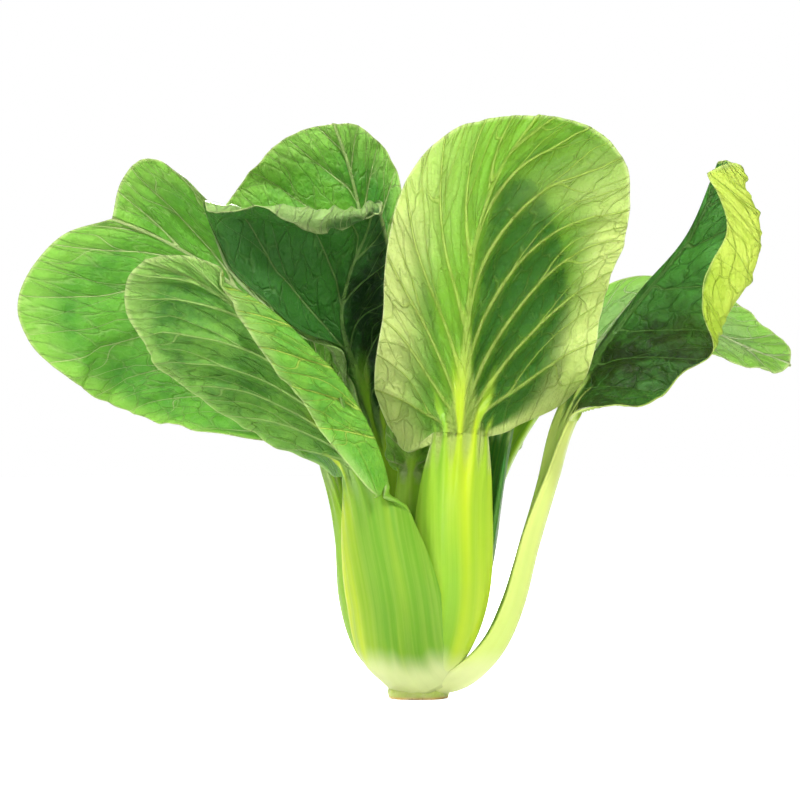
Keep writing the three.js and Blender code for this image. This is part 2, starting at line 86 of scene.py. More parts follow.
# Margin of a plain oval half: parts of the blade's length and of its half-width.
OVAL = ((0.07, 0.86), (0.3, 1), (0.65, 0.95), (0.93, 0.56))
LEAVES = {
    "leaf_right": dict(
        spine=((4, -2, 6), (15, -5, 9), (25, -6, 18.5), (32, -6, 33), (38, -5, 54), (44.5, -3, 74),
            (50.6, -1, 95), (62, 3, 117), (78, 5, 138), (94, 5, 158), (105.5, 1, 184)),
        face=((-0.4, 0.1, 1), (-1, 0, 0.6), (-1, 0, 0.3), (-0.9, -0.4, 0.3), (-0.4, -0.9, 0.3),
            (-0.4, -0.85, 0.3), (-0.4, -0.85, 0.2)),
        stem=(10, 11, 5.5), blade_share=0.46, cup=(-20, -10), wave=1.5, lanes=0.12,
        outline=(
            ((7, 15), (29, 18), (63, 17), (90, 10)),
            ((-9, 11), (-8, 25), (1, 31), (13, 27.5), (31, 30), (45, 38), (60, 43), (76, 39.5),
             (88, 31), (97.5, 14)),
        ),
        rolls=(
            (LEFT, -110, 6, 0.12, 9, 0.18, "start", 0),
            (RIGHT, 165, 8, 0.45, 9, 0.18, "inset", 18),
            (RIGHT, -60, 12, -0.1, 0.16, 0.15, "start", 1),
        ),
    ),
    "leaf_front_left": dict(
        spine=((-1, -5, 5.5), (-7, -17.5, 15), (-10, -26, 34), (-14, -29, 54), (-18, -31, 74),
            (-26, -34, 93), (-40, -39, 112), (-56, -43, 129), (-75, -43, 142), (-91, -40, 148.5)),
        face=((0.42, 0.9, 0.5), (0.35, 0.95, 0.1), (0.35, 0.95, 0.1), (0.2, 0.95, 0.25),
            (0.1, 0.97, 0.15), (0.05, 0.97, 0.15)),
        stem=(16, 23.5, 8), blade_share=0.56, cup=(0, 12), wave=0.8, fan=0.52, crowd=2.6,
        outline=(
            ((-8, 15), (0, 21), (30, 25), (49, 23), (66, 16), (76, 9.5), (88, 7.5), (99, 4)),
            ((3, 18), (26, 26), (55, 32.5), (80, 33), (98, 27), (106.5, 18), (109, 8)),
        ),
        rolls=(
            (LEFT, -172, 4, -0.1, 0.72, 0.12, "inset", 17),
        ),
    ),
    "leaf_front_right": dict(
        spine=((3, -5, 7.5), (9, -17, 19), (12.5, -23, 38), (13, -24, 68), (15, -22, 95),
            (16.5, -20, 124), (19.5, -19, 155), (28, -15, 180), (41, -7, 198.5)),
        face=((-0.42, 0.9, 0.5), (-0.3, 0.95, 0.1), (-0.1, 1, 0), (0.05, 1, 0), (0.15, 1, -0.1),
            (0.2, 1, -0.3)),
        stem=(9, 20, 9.5), blade_share=0.56, cup=(18, -8), wave=2.5, phase=0.4, fan=0.52, crowd=2.9,
        outline=(
            ((4, 22), (15, 39), (42, 45), (75, 48), (104, 45), (119, 31), (122, 15)),
            ((-7, 21), (4, 31), (40, 29), (75, 29), (95, 21.5), (109, 9)),
        ),
    ),
    "leaf_rear_left": dict(
        spine=((-4, 6, 10), (-10, 16, 23), (-16, 24, 44), (-21, 31, 68), (-27, 40, 92), (-35, 51, 110),
            (-43, 62, 120), (-50, 71, 124)),
        face=((0.5, -0.85, 0.5), (0.5, -0.85, 0), (0.4, -0.9, 0.2), (0.3, -0.7, 0.7), (0.15, -0.4, 0.9)),
        stem=(8, 14, 7), blade_share=0.48, width=(18, 20), cup=(20, 10), phase=1,
        stem_thick=(6, 4), veins=5,
    ),
    "leaf_rear_right": dict(
        spine=((4, 6, 10), (9, 16, 23), (12, 24, 45), (14, 31, 68), (18, 41, 89), (24, 53, 105),
            (31, 65, 114), (37, 75, 117)),
        face=((-0.4, -0.9, 0.5), (-0.3, -0.95, 0), (-0.2, -0.95, 0.2), (-0.1, -0.75, 0.65),
            (0, -0.45, 0.9)),
        stem=(8, 14, 7), blade_share=0.48, width=(22, 20), cup=(10, 15), stem_thick=(6, 4),
        veins=5,
    ),
    "leaf_far_left": dict(
        spine=((-7, 0, 9), (-17, 2, 18), (-23, 4, 35), (-25, 6, 56), (-28, 8, 76), (-35, 8, 98),
            (-44, 9, 118), (-57, 8.5, 135), (-73, 8, 148.5), (-90, 6, 158), (-105, 4, 164)),
        face=((1, 0, 0.5), (1, 0, 0.1), (0.95, -0.3, 0), (0.7, -0.8, 0.1), (0.25, -1, 0.15),
            (0.1, -1, 0.1), (0, -1, 0.1), (0, -1, 0.1)),
        stem=(8, 14, 7), blade_share=0.6, cup=(-15, 10), phase=2.2, fan=0.62, crowd=2.4,
        outline=(
            ((8, 20), (26, 41), (52, 53), (91, 59), (118, 55), (134, 45), (138, 31), (132, 12)),
            ((12, 13), (50, 14), (88, 16), (99, 22), (109, 27), (117, 24), (120, 13)),
        ),
        rolls=(
            (RIGHT, 30, 12, 0.55, 9, 0.25, "start", 0),
        ),
    ),
    "leaf_far_right": dict(
        spine=((7, 5, 12), (15, 11, 28), (20, 16, 52), (27, 21, 78), (42, 30, 103), (60, 39, 120),
            (80, 43, 130), (97, 43, 128), (114, 40, 121), (131, 36, 114)),
        face=((-0.8, -0.4, 0.5), (-0.9, -0.5, 0), (-0.6, -0.6, 0.5), (-0.2, -0.6, 0.8), (0, -0.6, 0.8),
            (0.1, -0.6, 0.8)),
        stem=(6, 11, 6), blade_share=0.48, width=(20, 18), wave=1.5, veins=6,
    ),
    "leaf_cupped_left": dict(
        spine=((-5, 4, 13), (-11, 9, 32), (-13, 13, 58), (-14, 14, 84), (-19, 11, 104), (-26, 7, 127),
            (-24, 1, 143), (-18, -5, 158), (-15, -11, 167), (-13, -16, 167.5), (-12.5, -19, 165)),
        face=((0.6, -0.8, 0.5), (0.5, -0.85, 0), (0.4, -0.9, 0), (0.35, -0.93, 0.1), (0.35, -0.9, 0.1),
            (0.3, -0.3, -0.9)),
        stem=(6, 12, 6), blade_share=0.52, cup=(-13, 20), wave=1.5, fan=0.7,
        outline=(
            ((14, 7), (30, 11), (43, 28), (53, 45), (63, 58), (76, 57), (80, 46), (86, 32), (88.5, 15)),
            ((10, 14), (40, 19), (62, 13), (78, 4)),
        ),
        rolls=(
            (LEFT, 35, 10, -0.1, 0.45, 0.3, "start", 0),
            (LEFT, 90, 5, 0, 0.6, 0.12, "inset", 5),
            (RIGHT, 35, 6, 0.12, 9, 0.18, "start", 0),
        ),
    ),
    "leaf_back_left": dict(
        spine=((-1, 8, 13), (-5, 17, 36), (-8, 24, 70), (-12, 29, 104), (-16, 31, 136), (-20, 31, 166),
            (-24, 28, 183), (-29, 20.5, 197.8)),
        face=((0, -1, 0.5), (0, -1, 0), (0, -1, 0), (0, -1, 0.05), (0, -1, 0.1)),
        stem=(6, 12, 6), blade_share=0.512, cup=(5, 25), phase=1,
        outline=(
            ((5, 26), (20, 41), (56, 51), (79, 45.5), (88.5, 38), (96.5, 26), (100, 13)),
            ((6, 12), (35, 14), (62, 16.5), (79, 15.5), (88.5, 12), (96, 6)),
        ),
    ),
    "leaf_back_right": dict(
        spine=((6, 1, 13), (14.5, 2, 24), (20.5, 3, 44), (24.5, 4, 70), (28, 10, 92), (32, 16, 116),
            (34.5, 17, 143), (34, 14, 170), (31, 10, 187)),
        face=((-0.9, -0.1, 0.4), (-0.9, -0.5, 0), (-0.7, -0.7, 0), (-0.3, -1, 0), (-0.1, -1, 0),
            (-0.1, -1, -0.2)),
        stem=(6, 12, 6), blade_share=0.52, width=(15, 17), cup=(20, 10), wave=1.2, veins=6,
    ),
    "leaf_back_centre": dict(
        spine=((2, 4, 14), (5, 9, 34), (6, 13.5, 70), (4, 17.5, 104), (1, 19.5, 136), (0, 19, 160),
            (1, 15, 178)),
        face=((0, -1, 0.4), (0, -1, 0), (0, -1, 0), (0.1, -1, 0), (0.1, -1, -0.1)),
        stem=(5, 10, 5), blade_share=0.5, width=(13, 11), wave=1, veins=5,
        rolls=(
            (RIGHT, 60, 4, 0.1, 9, 0.15, "start", 0),
        ),
    ),
    "leaf_heart_left": dict(
        spine=((-2, -2, 16), (-3, -6, 36), (-3, -8, 64), (-2, -8, 90), (-1, -6, 112)),
        face=((0.3, 0.9, 0.4), (0.2, 0.95, 0), (0.1, 0.95, 0), (0, 0.9, -0.2)),
        stem=(4, 8, 4.5), blade_share=0.36, width=(11, 11), cup=(60, 60), wave=1, phase=1,
        stem_thick=(4.5, 2.8), veins=4,
    ),
    "leaf_heart_right": dict(
        spine=((3, 0, 17), (7, 1, 36), (9, 1, 60), (9.5, 1, 84), (8, -1, 104)),
        face=((-1, 0, 0.4), (-1, -0.3, 0), (-0.8, -0.6, 0), (-0.6, -0.8, -0.2)),
        stem=(4, 8, 4.5), blade_share=0.36, width=(10, 10), cup=(60, 60), wave=1, phase=1,
        stem_thick=(4.5, 2.8), veins=4,
    ),
}
GUTTER = 35          # degrees the stalk is hollowed towards its upper face
INSET_LIMIT = 0.3    # a roll never starts nearer to the midrib than this part of the half's width
BEND_STEPS = 16      # steps in which the turn of the skin is summed from the midrib outwards
MARGIN_WAVES = 3     # waves along a margin
WAVE_SHIFT = 1.7     # radians by which the two margins' waves are set apart
SWELL_HEIGHT = 1.2   # long swells of the blade, and their radians for each millimetre
SWELL_PACE_ALONG = 0.11
SWELL_PACE_ACROSS = 0.13
STALK_EDGE = 1.7     # thickness of the stalk's wings
RIB_OUTSIDE = 0.8    # part of the midrib's thickness that stands on the lower face
RIB_TIP_HEIGHT = 0.4  # height and half-width of the midrib at the tip
RIB_TIP_REACH = 0.75
RIB_TAPER = 2.6      # above 1 it loses most of its height near the neck, and so with its width
RIB_NARROWING = 6
LANE_WIDTH = 4.2     # from ridge to ridge on the stalk
LANE_SPREAD = 0.10   # part of the blade over which they spread to twice that

# Mesh rows and columns, and points of the curves
SPINE_COUNT = 801
MARGIN_COUNT = 401
STALK_STEP = 2.2     # from row to row on the stalk
NECK_ROWS = 12       # close rows at the neck, in place of the first few even ones
NECK_EVEN_ROWS = 4
LAST_VEIN = 0.9995   # the last row ends this near to the tip
COLUMN_POWER = 1.1   # columns stand closer together at the midrib above 1
MARGIN_POWER = 1.25  # and at the margin above 1
VEIN_POWER = 0.85    # side veins leave the midrib steeply below 1
MARGIN_UNEVEN = 0.008  # unevenness of the margin, and its radians for each millimetre
MARGIN_UNEVEN_PACE = 0.28
SURFACE_STEP = 0.4   # step by which directions on the surface are measured
SMALL_LEAF = 32      # half-width below which a leaf has fewer rows and columns

# Veins, in spacings from one side vein to the next unless told otherwise
SIDE_SHIFT = 0.18    # by which left and right veins are set apart
VEIN_WANDER = 0.16
# Branches: part of the way out, its change from vein to vein, pace, turns of the seed, reach, shift
FORKS = (
    (0.40, 0.13, 2.4, 1, 0.42, -0.46),
    (0.62, 0.12, 3.1, 2, 0.34, 0.40),
)
MOST_SPACING = 40    # millimetres, the widest spacing that is told apart
MAIN_PILLOW = 2.2    # millimetres from a vein over which the blade bulges, at side veins and at branches
BRANCH_PILLOW = 1.8
VEIN_RIDGE = (1.5, 0.6)  # half-width of a vein's ridge at the midrib and at the margin
RUFFLE_PACE = 0.55   # radians for each millimetre
LUMP_HEIGHT = 0.35
FOLD_EASE = (0.08, 0.3)  # radians for each millimetre between which a bend smooths the bulges out


# ---- Leaf colours ------------------------------------------------
def tint(code):
    """Scene-linear colour of a screen colour written as six hexadecimal digits."""
    shares = [int(code[i:i + 2], 16) / 255 for i in (0, 2, 4)]
    return [c / 12.92 if c <= 0.04045 else ((c + 0.055) / 1.055) ** 2.4 for c in shares]


# upper, lower: (shaded, bright) colours of the two faces; veins: (upper, lower); margin: pale rim line
# rim: colour the blade pales to near its margin, and how many millimetres in that reaches; a paler margin,
# and on the front right leaf a broad band of painted light
# rim_fade: parts of the way to the tip between which that paler rim ends
# tone: added brightness of the left half, of the right half, and of the end near the tip; this is painted
# light and shade
# stalk_painted_light: more of the stalk's yellow on its left and on its right side, painted light that makes
# one side brighter
# frill: part of the ruffle this leaf has; base: height in metres at which its stalk pales to the butt
# glow: colour of light that passes through; thin: share of light that passes
# vein: half-width of a side vein at the midrib in millimetres; stalk: (green, yellow)
FINISH_DEFAULTS = dict(
    upper=("3f8a2e", "68b03c"), lower=("6e914b", "a5c37d"), veins=("bcd97a", "b9cf87"), margin="c6dc92",
    rim=("8cc648", 10.0), glow="a8cc58", thin=0.35, vein=0.7, stalk=("68ae2e", "a4d038"), base=0.010,
    rim_fade=(2, 3), tone_and_painted_light=(0, 0, 0), stalk_painted_light=(0, 0), frill=1,
)
FINISHES = {
    # Painted shade and light: the near-black upper colour and the darker halves paint shade, and the much
    # brighter end near the tip paints light
    "leaf_right": dict(
        upper=("082009", "489038"), lower=("b0d238", "cbe458"), veins=("5f8c44", "a6c63c"), margin="cfe67a",
        rim=("28602a", 3.0), glow="cfea64", thin=0.18, vein=0.6, tone_and_painted_light=(-0.4, -0.5, 1.9), frill=0.3,
        stalk=("cce47c", "e8f48c"), seed=3),
    "leaf_front_left": dict(
        upper=("5aac32", "88c83e"), lower=("468630", "88c44c"), veins=("c4e45c", "a4cc6c"), margin="c4dc8c",
        rim=("94c45c", 5.0), glow="b0d858", thin=0.2, vein=0.95, stalk=("72ac2a", "ccdf2a"),
        stalk_painted_light=(-1.0, 0.3), seed=5),
    # Painted light and shade: the dark end of the lower colour and the darker left half paint the shadow of
    # the leaf behind; the brighter right half, the brighter tip and the broad pale rim paint light
    "leaf_front_right": dict(
        upper=("4d9a2c", "79b93c"), lower=("2c6a24", "7cb444"), veins=("a4cc58", "c4dc6c"), margin="e8f4b4",
        rim=("e2f294", 21.0), rim_fade=(0.4, 0.8), glow="d1ee81", thin=0.5, vein=1.35, tone_and_painted_light=(-1.1, 0.9, 0.5),
        stalk=("88c230", "cce020"), stalk_painted_light=(0.3, -0.5), seed=8),
    "leaf_far_left": dict(
        upper=("3e8c2c", "70b83e"), veins=("d6e8a0", "b9cf87"), rim=("8cc84a", 9.0), thin=0.28, vein=0.65,
        tone_and_painted_light=(0, 0.35, 0.25), frill=0.6, seed=13),
    # Painted light and shade: the near-black upper colour and the darker right half paint the shade inside
    # the cup, and the brighter left half paints a lit patch
    "leaf_cupped_left": dict(
        upper=("0c2616", "3c7c30"), lower=("74ae4c", "a8d078"), veins=("84aa60", "b4cc8c"),
        rim=("2c6428", 4.0), glow="b4dc58", thin=0.2, tone_and_painted_light=(1.1, -0.6, 0), frill=0.5, seed=21),
    "leaf_back_left": dict(
        upper=("409034", "8ed054"), veins=("cfe49a", "b9cf87"), rim=("9cd460", 11.0), thin=0.28,
        tone_and_painted_light=(0.3, -0.9, 0), seed=34),
    "leaf_back_centre": dict(upper=("7fb83a", "aad044"), glow="d0ec60", thin=0.5, seed=40),
    "leaf_far_right": dict(
        upper=("7cb458", "a8cc7c"), lower=("8fb868", "a8c888"), veins=("d8e8b4", "d8e8b4"), thin=0.2,
        vein=0.8, seed=55),
    # Painted shade: dark greens on the blade and the stalk, with a stalk that never pales to the butt, paint
    # the shade behind the front right leaf
    "leaf_back_right": dict(
        upper=("2f7a32", "4a9440"), lower=("2f7a32", "5aa048"), thin=0.12, stalk=("2c7a34", "4f9c40"),
        base=-0.02, seed=60),
    "leaf_heart_left": dict(upper=("6fae3e", "94c44c"), lower=("6fae3e", "94c44c"), seed=70),
    "leaf_heart_right": dict(upper=("6aa83c", "8cc048"), lower=("6aa83c", "8cc048"), seed=75),
    "leaf_rear_left": dict(upper=("3d8029", "62a838"), stalk=("80bc38", "b0d63c"), seed=80),
    "leaf_rear_right": dict(upper=("3f8529", "68ab3a"), stalk=("78b836", "a8d23a"), seed=85),
}


# ---- Settings a user may change ----------------------------------
class BokChoyLeafSettings(bpy.types.PropertyGroup):
    """Sizes of the leaf skins."""

    blade_thick: FloatProperty(
        name="Blade thickness", description="Thickness of the blade between its veins",
        default=0.6 * MM, unit="LENGTH", min=0.3 * MM, max=2 * MM, precision=5)
    margin_thick: FloatProperty(
        name="Margin thickness", description="Thickness of the blade at its very edge",
        default=0.3 * MM, unit="LENGTH", min=0.1 * MM, max=1 * MM, precision=5)
    quilt: FloatProperty(
        name="Quilting", description="How far the blade bulges between its veins",
        default=1.4 * MM, unit="LENGTH", min=0, max=3 * MM, precision=5)
    vein_height: FloatProperty(
        name="Vein height", description="How far the side veins stand out on the lower face",
        default=1.15 * MM, unit="LENGTH", min=0, max=2 * MM, precision=5)
    ruffle: FloatProperty(
        name="Ruffle", description="Height of the small waves along the margin",
        default=0.5 * MM, unit="LENGTH", min=0, max=4 * MM, precision=5)
    stalk_ridge: FloatProperty(
        name="Stalk ridges", description="Height of the long ridges on the outside of the stalks",
        default=0.12 * MM, unit="LENGTH", min=0, max=1 * MM, precision=5)
    neck_ridge: FloatProperty(
        name="Neck ridges", description="Height of the ridges where the stalk spreads into the blade",
        default=0.75 * MM, unit="LENGTH", min=0, max=2 * MM, precision=5)
    rows_per_vein: IntProperty(
        name="Rows per vein", description="Mesh rows from one side vein to the next", default=18,
        min=4, max=40)
    columns: IntProperty(
        name="Columns", description="Mesh columns from margin to margin, an even number", default=120,
        min=10, max=200)


class BokChoyButtSettings(bpy.types.PropertyGroup):
    """Sizes and colours of the trimmed butt."""

    rings: IntProperty(
        name="Rings", description="Mesh rings of the cut face", default=40, min=4, max=100)
    around: IntProperty(
        name="Around", description="Mesh columns around the butt", default=160, min=16, max=400)
    cut_colour: FloatVectorProperty(
        name="Cut colour", description="Colour of the dried cut face", subtype="COLOR",
        default=tint("e0b070"), min=0, max=1)
    flesh_colour: FloatVectorProperty(
        name="Flesh colour", description="Colour of the pale stem around the cut", subtype="COLOR",
        default=tint("c4d86c"), min=0, max=1)


class BokChoyStageSettings(bpy.types.PropertyGroup):
    """The floor, the lights and the camera."""

    floor_radius: FloatProperty(
        name="Floor radius", description="Radius of the pale floor", default=4.0, unit="LENGTH", min=0.5)
    camera_distance: FloatProperty(
        name="Camera distance", description="From the camera to the middle of the head", default=1.4,
        unit="LENGTH", min=0.3)
    camera_height: FloatProperty(
        name="Camera height", description="Height of the level camera", default=0.1019, unit="LENGTH")
    camera_side: FloatProperty(
        name="Camera offset", description="Sideways place of the camera", default=-0.00615, unit="LENGTH")
    view_width: FloatProperty(
        name="View width", description="Width seen at the middle of the head", default=0.2735,
        unit="LENGTH", min=0.05)
    sky: FloatProperty(
        name="Sky light", description="Brightness of the even light from all round", default=0.26, min=0)


# ---- Curves and small formulas -----------------------------------
def smooth(x, low, high):
    """0 below low, 1 above high, and the cubic 3t^2 - 2t^3 between them."""
    t = np.clip((x - low) / (high - low), 0, 1)
    return t * t * (3 - 2 * t)


def mix(a, b, t):
    """a at t = 0, b at t = 1, in a straight line between them."""
    return a + (b - a) * t


def unit(vectors):
    """The vectors, each at length one."""
    return vectors / np.maximum(np.linalg.norm(vectors, axis=-1, keepdims=True), 1e-9)


def curve_table(points, count):
    """Evenly counted places on the Catmull-Rom curve through the points, its ends carried on straight."""
    p = np.asarray(points, float)
    spans = len(p) - 1
    p = np.vstack([2 * p[0] - p[1], p, 2 * p[-1] - p[-2]])
    t = np.linspace(0, spans, count)
    i = np.minimum(t.astype(int), spans - 1)
    f = (t - i)[:, None]
    a, b, c, d = p[i], p[i + 1], p[i + 2], p[i + 3]
    return 0.5 * (2 * b + (c - a) * f + (2 * a - 5 * b + 4 * c - d) * f ** 2
                  + (3 * b - a - 3 * c + d) * f ** 3)


def ripple(u, v, seed, terms=6):
    """Smooth unevenness between about -1 and 1: a sum of sines of u and v in seeded directions."""
    chance = np.random.default_rng(seed)
    total = 0
    for _ in range(terms):
        angle, phase = chance.uniform(0, 2 * np.pi, 2)
        pace = chance.uniform(0.6, 1.6)
        total = total + np.sin(pace * (u * np.cos(angle) + v * np.sin(angle)) + phase)
    return total / math.sqrt(terms)


def travelled_along(table):
    """Distance travelled at each row of a table of points."""
    steps = np.linalg.norm(np.diff(table, axis=0), axis=1)
    return np.concatenate([[0], np.cumsum(steps)])


class Spine:
    """Middle line of a leaf: its places, directions and upper-face directions by distance."""

    def __init__(self, points, face):
        self.table = curve_table(points, SPINE_COUNT)
        self.travelled = travelled_along(self.table)
        self.length = self.travelled[-1]
        self.along = unit(np.gradient(self.table, self.travelled, axis=0))
        even = np.linspace(0, self.length, SPINE_COUNT)
        looks = curve_table(face, SPINE_COUNT)
        looks = np.stack([np.interp(self.travelled, even, looks[:, k]) for k in range(3)], 1)
        self.up = unit(looks - (looks * self.along).sum(1, keepdims=True) * self.along)
        self.side = unit(np.cross(self.along, self.up))

    def at(self, s):
        """Centre, upper-face direction and sideways direction at the distances s."""
        def read(table):
            return np.stack([np.interp(s, self.travelled, table[:, k]) for k in range(3)], -1)

        over = (s - np.clip(s, 0, self.length))[..., None]
        return read(self.table) + over * read(self.along), unit(read(self.up)), unit(read(self.side))


# ---- The leaf surface --------------------------------------------
def margin_curve(leaf, half):
    """The margin as points that stand evenly along a curve through the outline, neck to tip."""
    points = leaf["outline"][half] if leaf["outline"] else [
        (along * leaf["blade"], across * leaf["width"][half]) for along, across in OVAL]
    table = curve_table([(0, leaf["stem"][2]), *points, (leaf["blade"], 0)], SPINE_COUNT)
    travelled = travelled_along(table)
    even = np.linspace(0, travelled[-1], MARGIN_COUNT)
    return np.stack([np.interp(even, travelled, table[:, k]) for k in range(2)], 1)


def prepared(shape):
    """A leaf's dimensions with its spine, the lengths of stalk and blade, and its margin tables."""
    leaf = {**LEAF_DEFAULTS, **shape}
    leaf["line"] = Spine(leaf["spine"], leaf["face"])
    leaf["blade"] = leaf["line"].length * leaf["blade_share"]
    leaf["neck"] = leaf["line"].length - leaf["blade"]
    leaf["curves"] = [margin_curve(leaf, half) for half in (LEFT, RIGHT)]
    leaf["width"] = [curve[:, 1].max() for curve in leaf["curves"]]
    leaf["margins"] = []
    for curve in leaf["curves"]:
        a, b = curve[curve[:, 0].argmin():].T
        leaf["margins"].append((np.maximum.accumulate(a), np.maximum(b, 0)))
    return leaf


def vein_place(t):
    """Side veins stand closer together at the neck and at the tip: t/2 + (1 - cos(pi t))/4."""
    return t / 2 + (1 - np.cos(np.pi * t)) / 4


def margin_point(leaf, r, half):
    """Where side vein r meets the margin, along (a) and across (b): the part r^fan of the margin."""
    curve = leaf["curves"][half]
    place = np.clip(r, 0, 1) ** leaf["fan"] * (len(curve) - 1)
    a, b = (np.interp(place, np.arange(len(curve)), curve[:, k]) for k in range(2))
    return a, np.maximum(b, 0)


def blade_part(leaf, s):
    """Part of the way from the neck (0) to the tip (1); below 0 on the stalk."""
    return (s - leaf["neck"]) / leaf["blade"]


def stalk_half_width(leaf, t):
    """Quadratic Bezier curve of the three half-widths of the stalk."""
    t = np.clip(t, 0, 1)
    butt, middle, neck = leaf["stem"]
    return butt * (1 - t) ** 2 + 2 * middle * t * (1 - t) + neck * t * t


def turn_at(leaf, s, b, edges):
    """Angle the skin has turned towards its upper face at b: gutter of the stalk + cup + rolls."""
    x = blade_part(leaf, s)
    q = np.abs(b)
    gutter = (1 - smooth(x, -0.05, 0.25)) * GUTTER
    turn = gutter * np.clip(q / stalk_half_width(leaf, s / leaf["neck"]), 0, 1.6)
    for half, on in ((LEFT, b < 0), (RIGHT, b >= 0)):
        extra = leaf["cup"][half] * (q / leaf["width"][half]) * smooth(x, -0.1, 0.35)
        for rolled, degrees, over, begin, end, fade, kind, place in leaf["rolls"]:
            if rolled != half:
                continue
            span = smooth(x, begin - fade, begin + fade) * (1 - smooth(x, end - fade, end + fade))
            start = place
            if kind == "inset":
                start = np.maximum(edges[half] - place * span, INSET_LIMIT * edges[half])
                span = np.sqrt(span)
            extra = extra + degrees * smooth(q, start, start + over) * span
        turn = turn + np.where(on, extra, 0)
    return np.radians(turn)


def edges_at(leaf, s):
    """Half-widths of the leaf at the distances s, left and right."""
    return [np.interp(s - leaf["neck"], *leaf["margins"][half]) for half in (LEFT, RIGHT)]


def middle_surface(leaf, s, b):
    """Centre + side * integral of cos(turn) db + up * (integral of sin(turn) d|b| + wave + swell)."""
    centre, up, side = leaf["line"].at(s)
    x = blade_part(leaf, s)
    edges = edges_at(leaf, s)
    across, rise = np.zeros_like(b), np.zeros_like(b)
    for i in range(BEND_STEPS):
        turn = turn_at(leaf, s, b * (i + 0.5) / BEND_STEPS, edges)
        across += np.cos(turn) * b / BEND_STEPS
        rise += np.sin(turn) * np.abs(b) / BEND_STEPS
    out = np.abs(b) / max(leaf["width"])
    phase = leaf["phase"] + np.where(b < 0, 0, WAVE_SHIFT)
    settle = smooth(x, 0, 0.3)
    rise += leaf["wave"] * out ** 2 * np.sin(2 * np.pi * MARGIN_WAVES * x + phase) * settle
    swell = np.sin(s * SWELL_PACE_ALONG + leaf["phase"])
    swell = swell * np.sin(b * SWELL_PACE_ACROSS + 2 * leaf["phase"])
    rise += SWELL_HEIGHT * swell * settle
    return centre + side * across[..., None] + up * rise[..., None]


def skin_thickness(leaf, s, b, blade_thick):
    """Thickness of the skin, the midrib's extra height (1 - q^2)^1.2 over it, and the rib's half-width.

    q is the distance from the middle of the rib as a part of its half-width.
    """
    x = blade_part(leaf, s)
    skin = mix(STALK_EDGE, blade_thick, smooth(x, -0.4, 0.1))
    butt, neck = leaf["stem_thick"]
    taper = np.clip(1 - x, 0, 1)
    wings = mix(STALK_EDGE, blade_thick, smooth(x, -0.4, 0))
    stalk = mix(butt, neck, smooth(s / leaf["neck"], 0, 1)) - wings
    midrib = RIB_TIP_HEIGHT + (neck - blade_thick - RIB_TIP_HEIGHT) * taper ** RIB_TAPER
    height = np.where(x < 0, stalk, midrib)
    in_blade = RIB_TIP_REACH + (leaf["stem"][2] - RIB_TIP_REACH) * taper ** RIB_NARROWING
    reach = np.where(x < 0, stalk_half_width(leaf, s / leaf["neck"]), in_blade)
    q = np.abs(b) / reach
    return skin, height * (1 - np.clip(q, 0, 1) ** 2) ** 1.2, reach


def leaf_grid(leaf, rows_per_vein, columns, seed):
    """Distances s along and b across for every row and column, and the vein coordinate t of each row.

    Rows of the stalk are even; rows of the blade follow the side veins from the midrib to the margin.
    Columns stand closer together at the margin, and the first rows of the blade at the neck.
    """
    u = np.linspace(-1, 1, columns + 1)
    v = np.sign(u) * (1 - (1 - np.abs(u)) ** MARGIN_POWER)
    stalk_s = np.linspace(0, leaf["neck"], int(leaf["neck"] / STALK_STEP), endpoint=False)
    s1, v1 = np.meshgrid(stalk_s, v, indexing="ij")
    b1 = np.sign(v1) * np.abs(v1) ** COLUMN_POWER * stalk_half_width(leaf, s1 / leaf["neck"])
    even = np.linspace(0, 1, rows_per_vein * (leaf["veins"] + 1) + 1)
    crowded = even[NECK_EVEN_ROWS] * (np.arange(NECK_ROWS) / NECK_ROWS) ** 2
    t2, v2 = np.meshgrid(np.concatenate([crowded, even[NECK_EVEN_ROWS:]]), v, indexing="ij")
    r = np.minimum(vein_place(t2), LAST_VEIN)
    along = leaf["blade"] * r ** leaf["crowd"]
    ends = [margin_point(leaf, r, half) for half in (LEFT, RIGHT)]
    end_a = np.where(v2 < 0, ends[LEFT][0], ends[RIGHT][0])
    end_b = np.where(v2 < 0, ends[LEFT][1], ends[RIGHT][1])
    bumps = ripple(end_a * MARGIN_UNEVEN_PACE, np.sign(v2) * 3, seed)
    uneven = 1 + MARGIN_UNEVEN * bumps * np.sin(np.pi * t2)
    a2 = along + (end_a - along) * np.abs(v2) ** VEIN_POWER
    b2 = np.sign(v2) * np.abs(v2) ** COLUMN_POWER * end_b * uneven
    s = np.vstack([s1, leaf["neck"] + a2])
    b = np.vstack([b1, b2])
    t_all = np.vstack([blade_part(leaf, s1), t2])
    return s, b, np.vstack([v1, v2]), t_all


def vein_lines(leaf, s, b, v, t, seed):
    """Vein coordinates, whole numbers of which are veins, and millimetres from one number to the next.

    The first is the side veins, t (veins + 1) with small shifts. The second and third leave it part of
    the way out, at a place that differs from vein to vein, and so are the veins' two branches.
    """
    most = leaf["veins"]
    main = t * (most + 1) + SIDE_SHIFT * np.sign(v) * smooth(np.abs(v), 0, 0.15)
    out = np.abs(v)
    main = main + VEIN_WANDER * ripple(main * 1.3, out * 3 + np.sign(v) * 5, seed)
    branches = []
    for begins, change, pace, turns, reach, shift in FORKS:
        start = begins + change * np.sin(pace * main + turns * seed)
        branches.append(main + shift * smooth(out, start, start + reach))
    ds_i, ds_j = np.gradient(s)
    db_i, db_j = np.gradient(b)
    length = np.maximum(np.hypot(ds_j, db_j), 1e-6)
    per_row = np.abs(ds_i * db_j - db_i * ds_j) / length
    per_vein = np.maximum(np.abs(np.gradient(main, axis=0)), 1e-4)
    spacing = np.clip(per_row / per_vein, 0, MOST_SPACING)
    return [np.clip(line, 0.5, most + 0.5) for line in (main, *branches)], spacing


def nearest(line):
    """Distance to the nearest whole number."""
    return np.abs((line + 0.5) % 1 - 0.5)


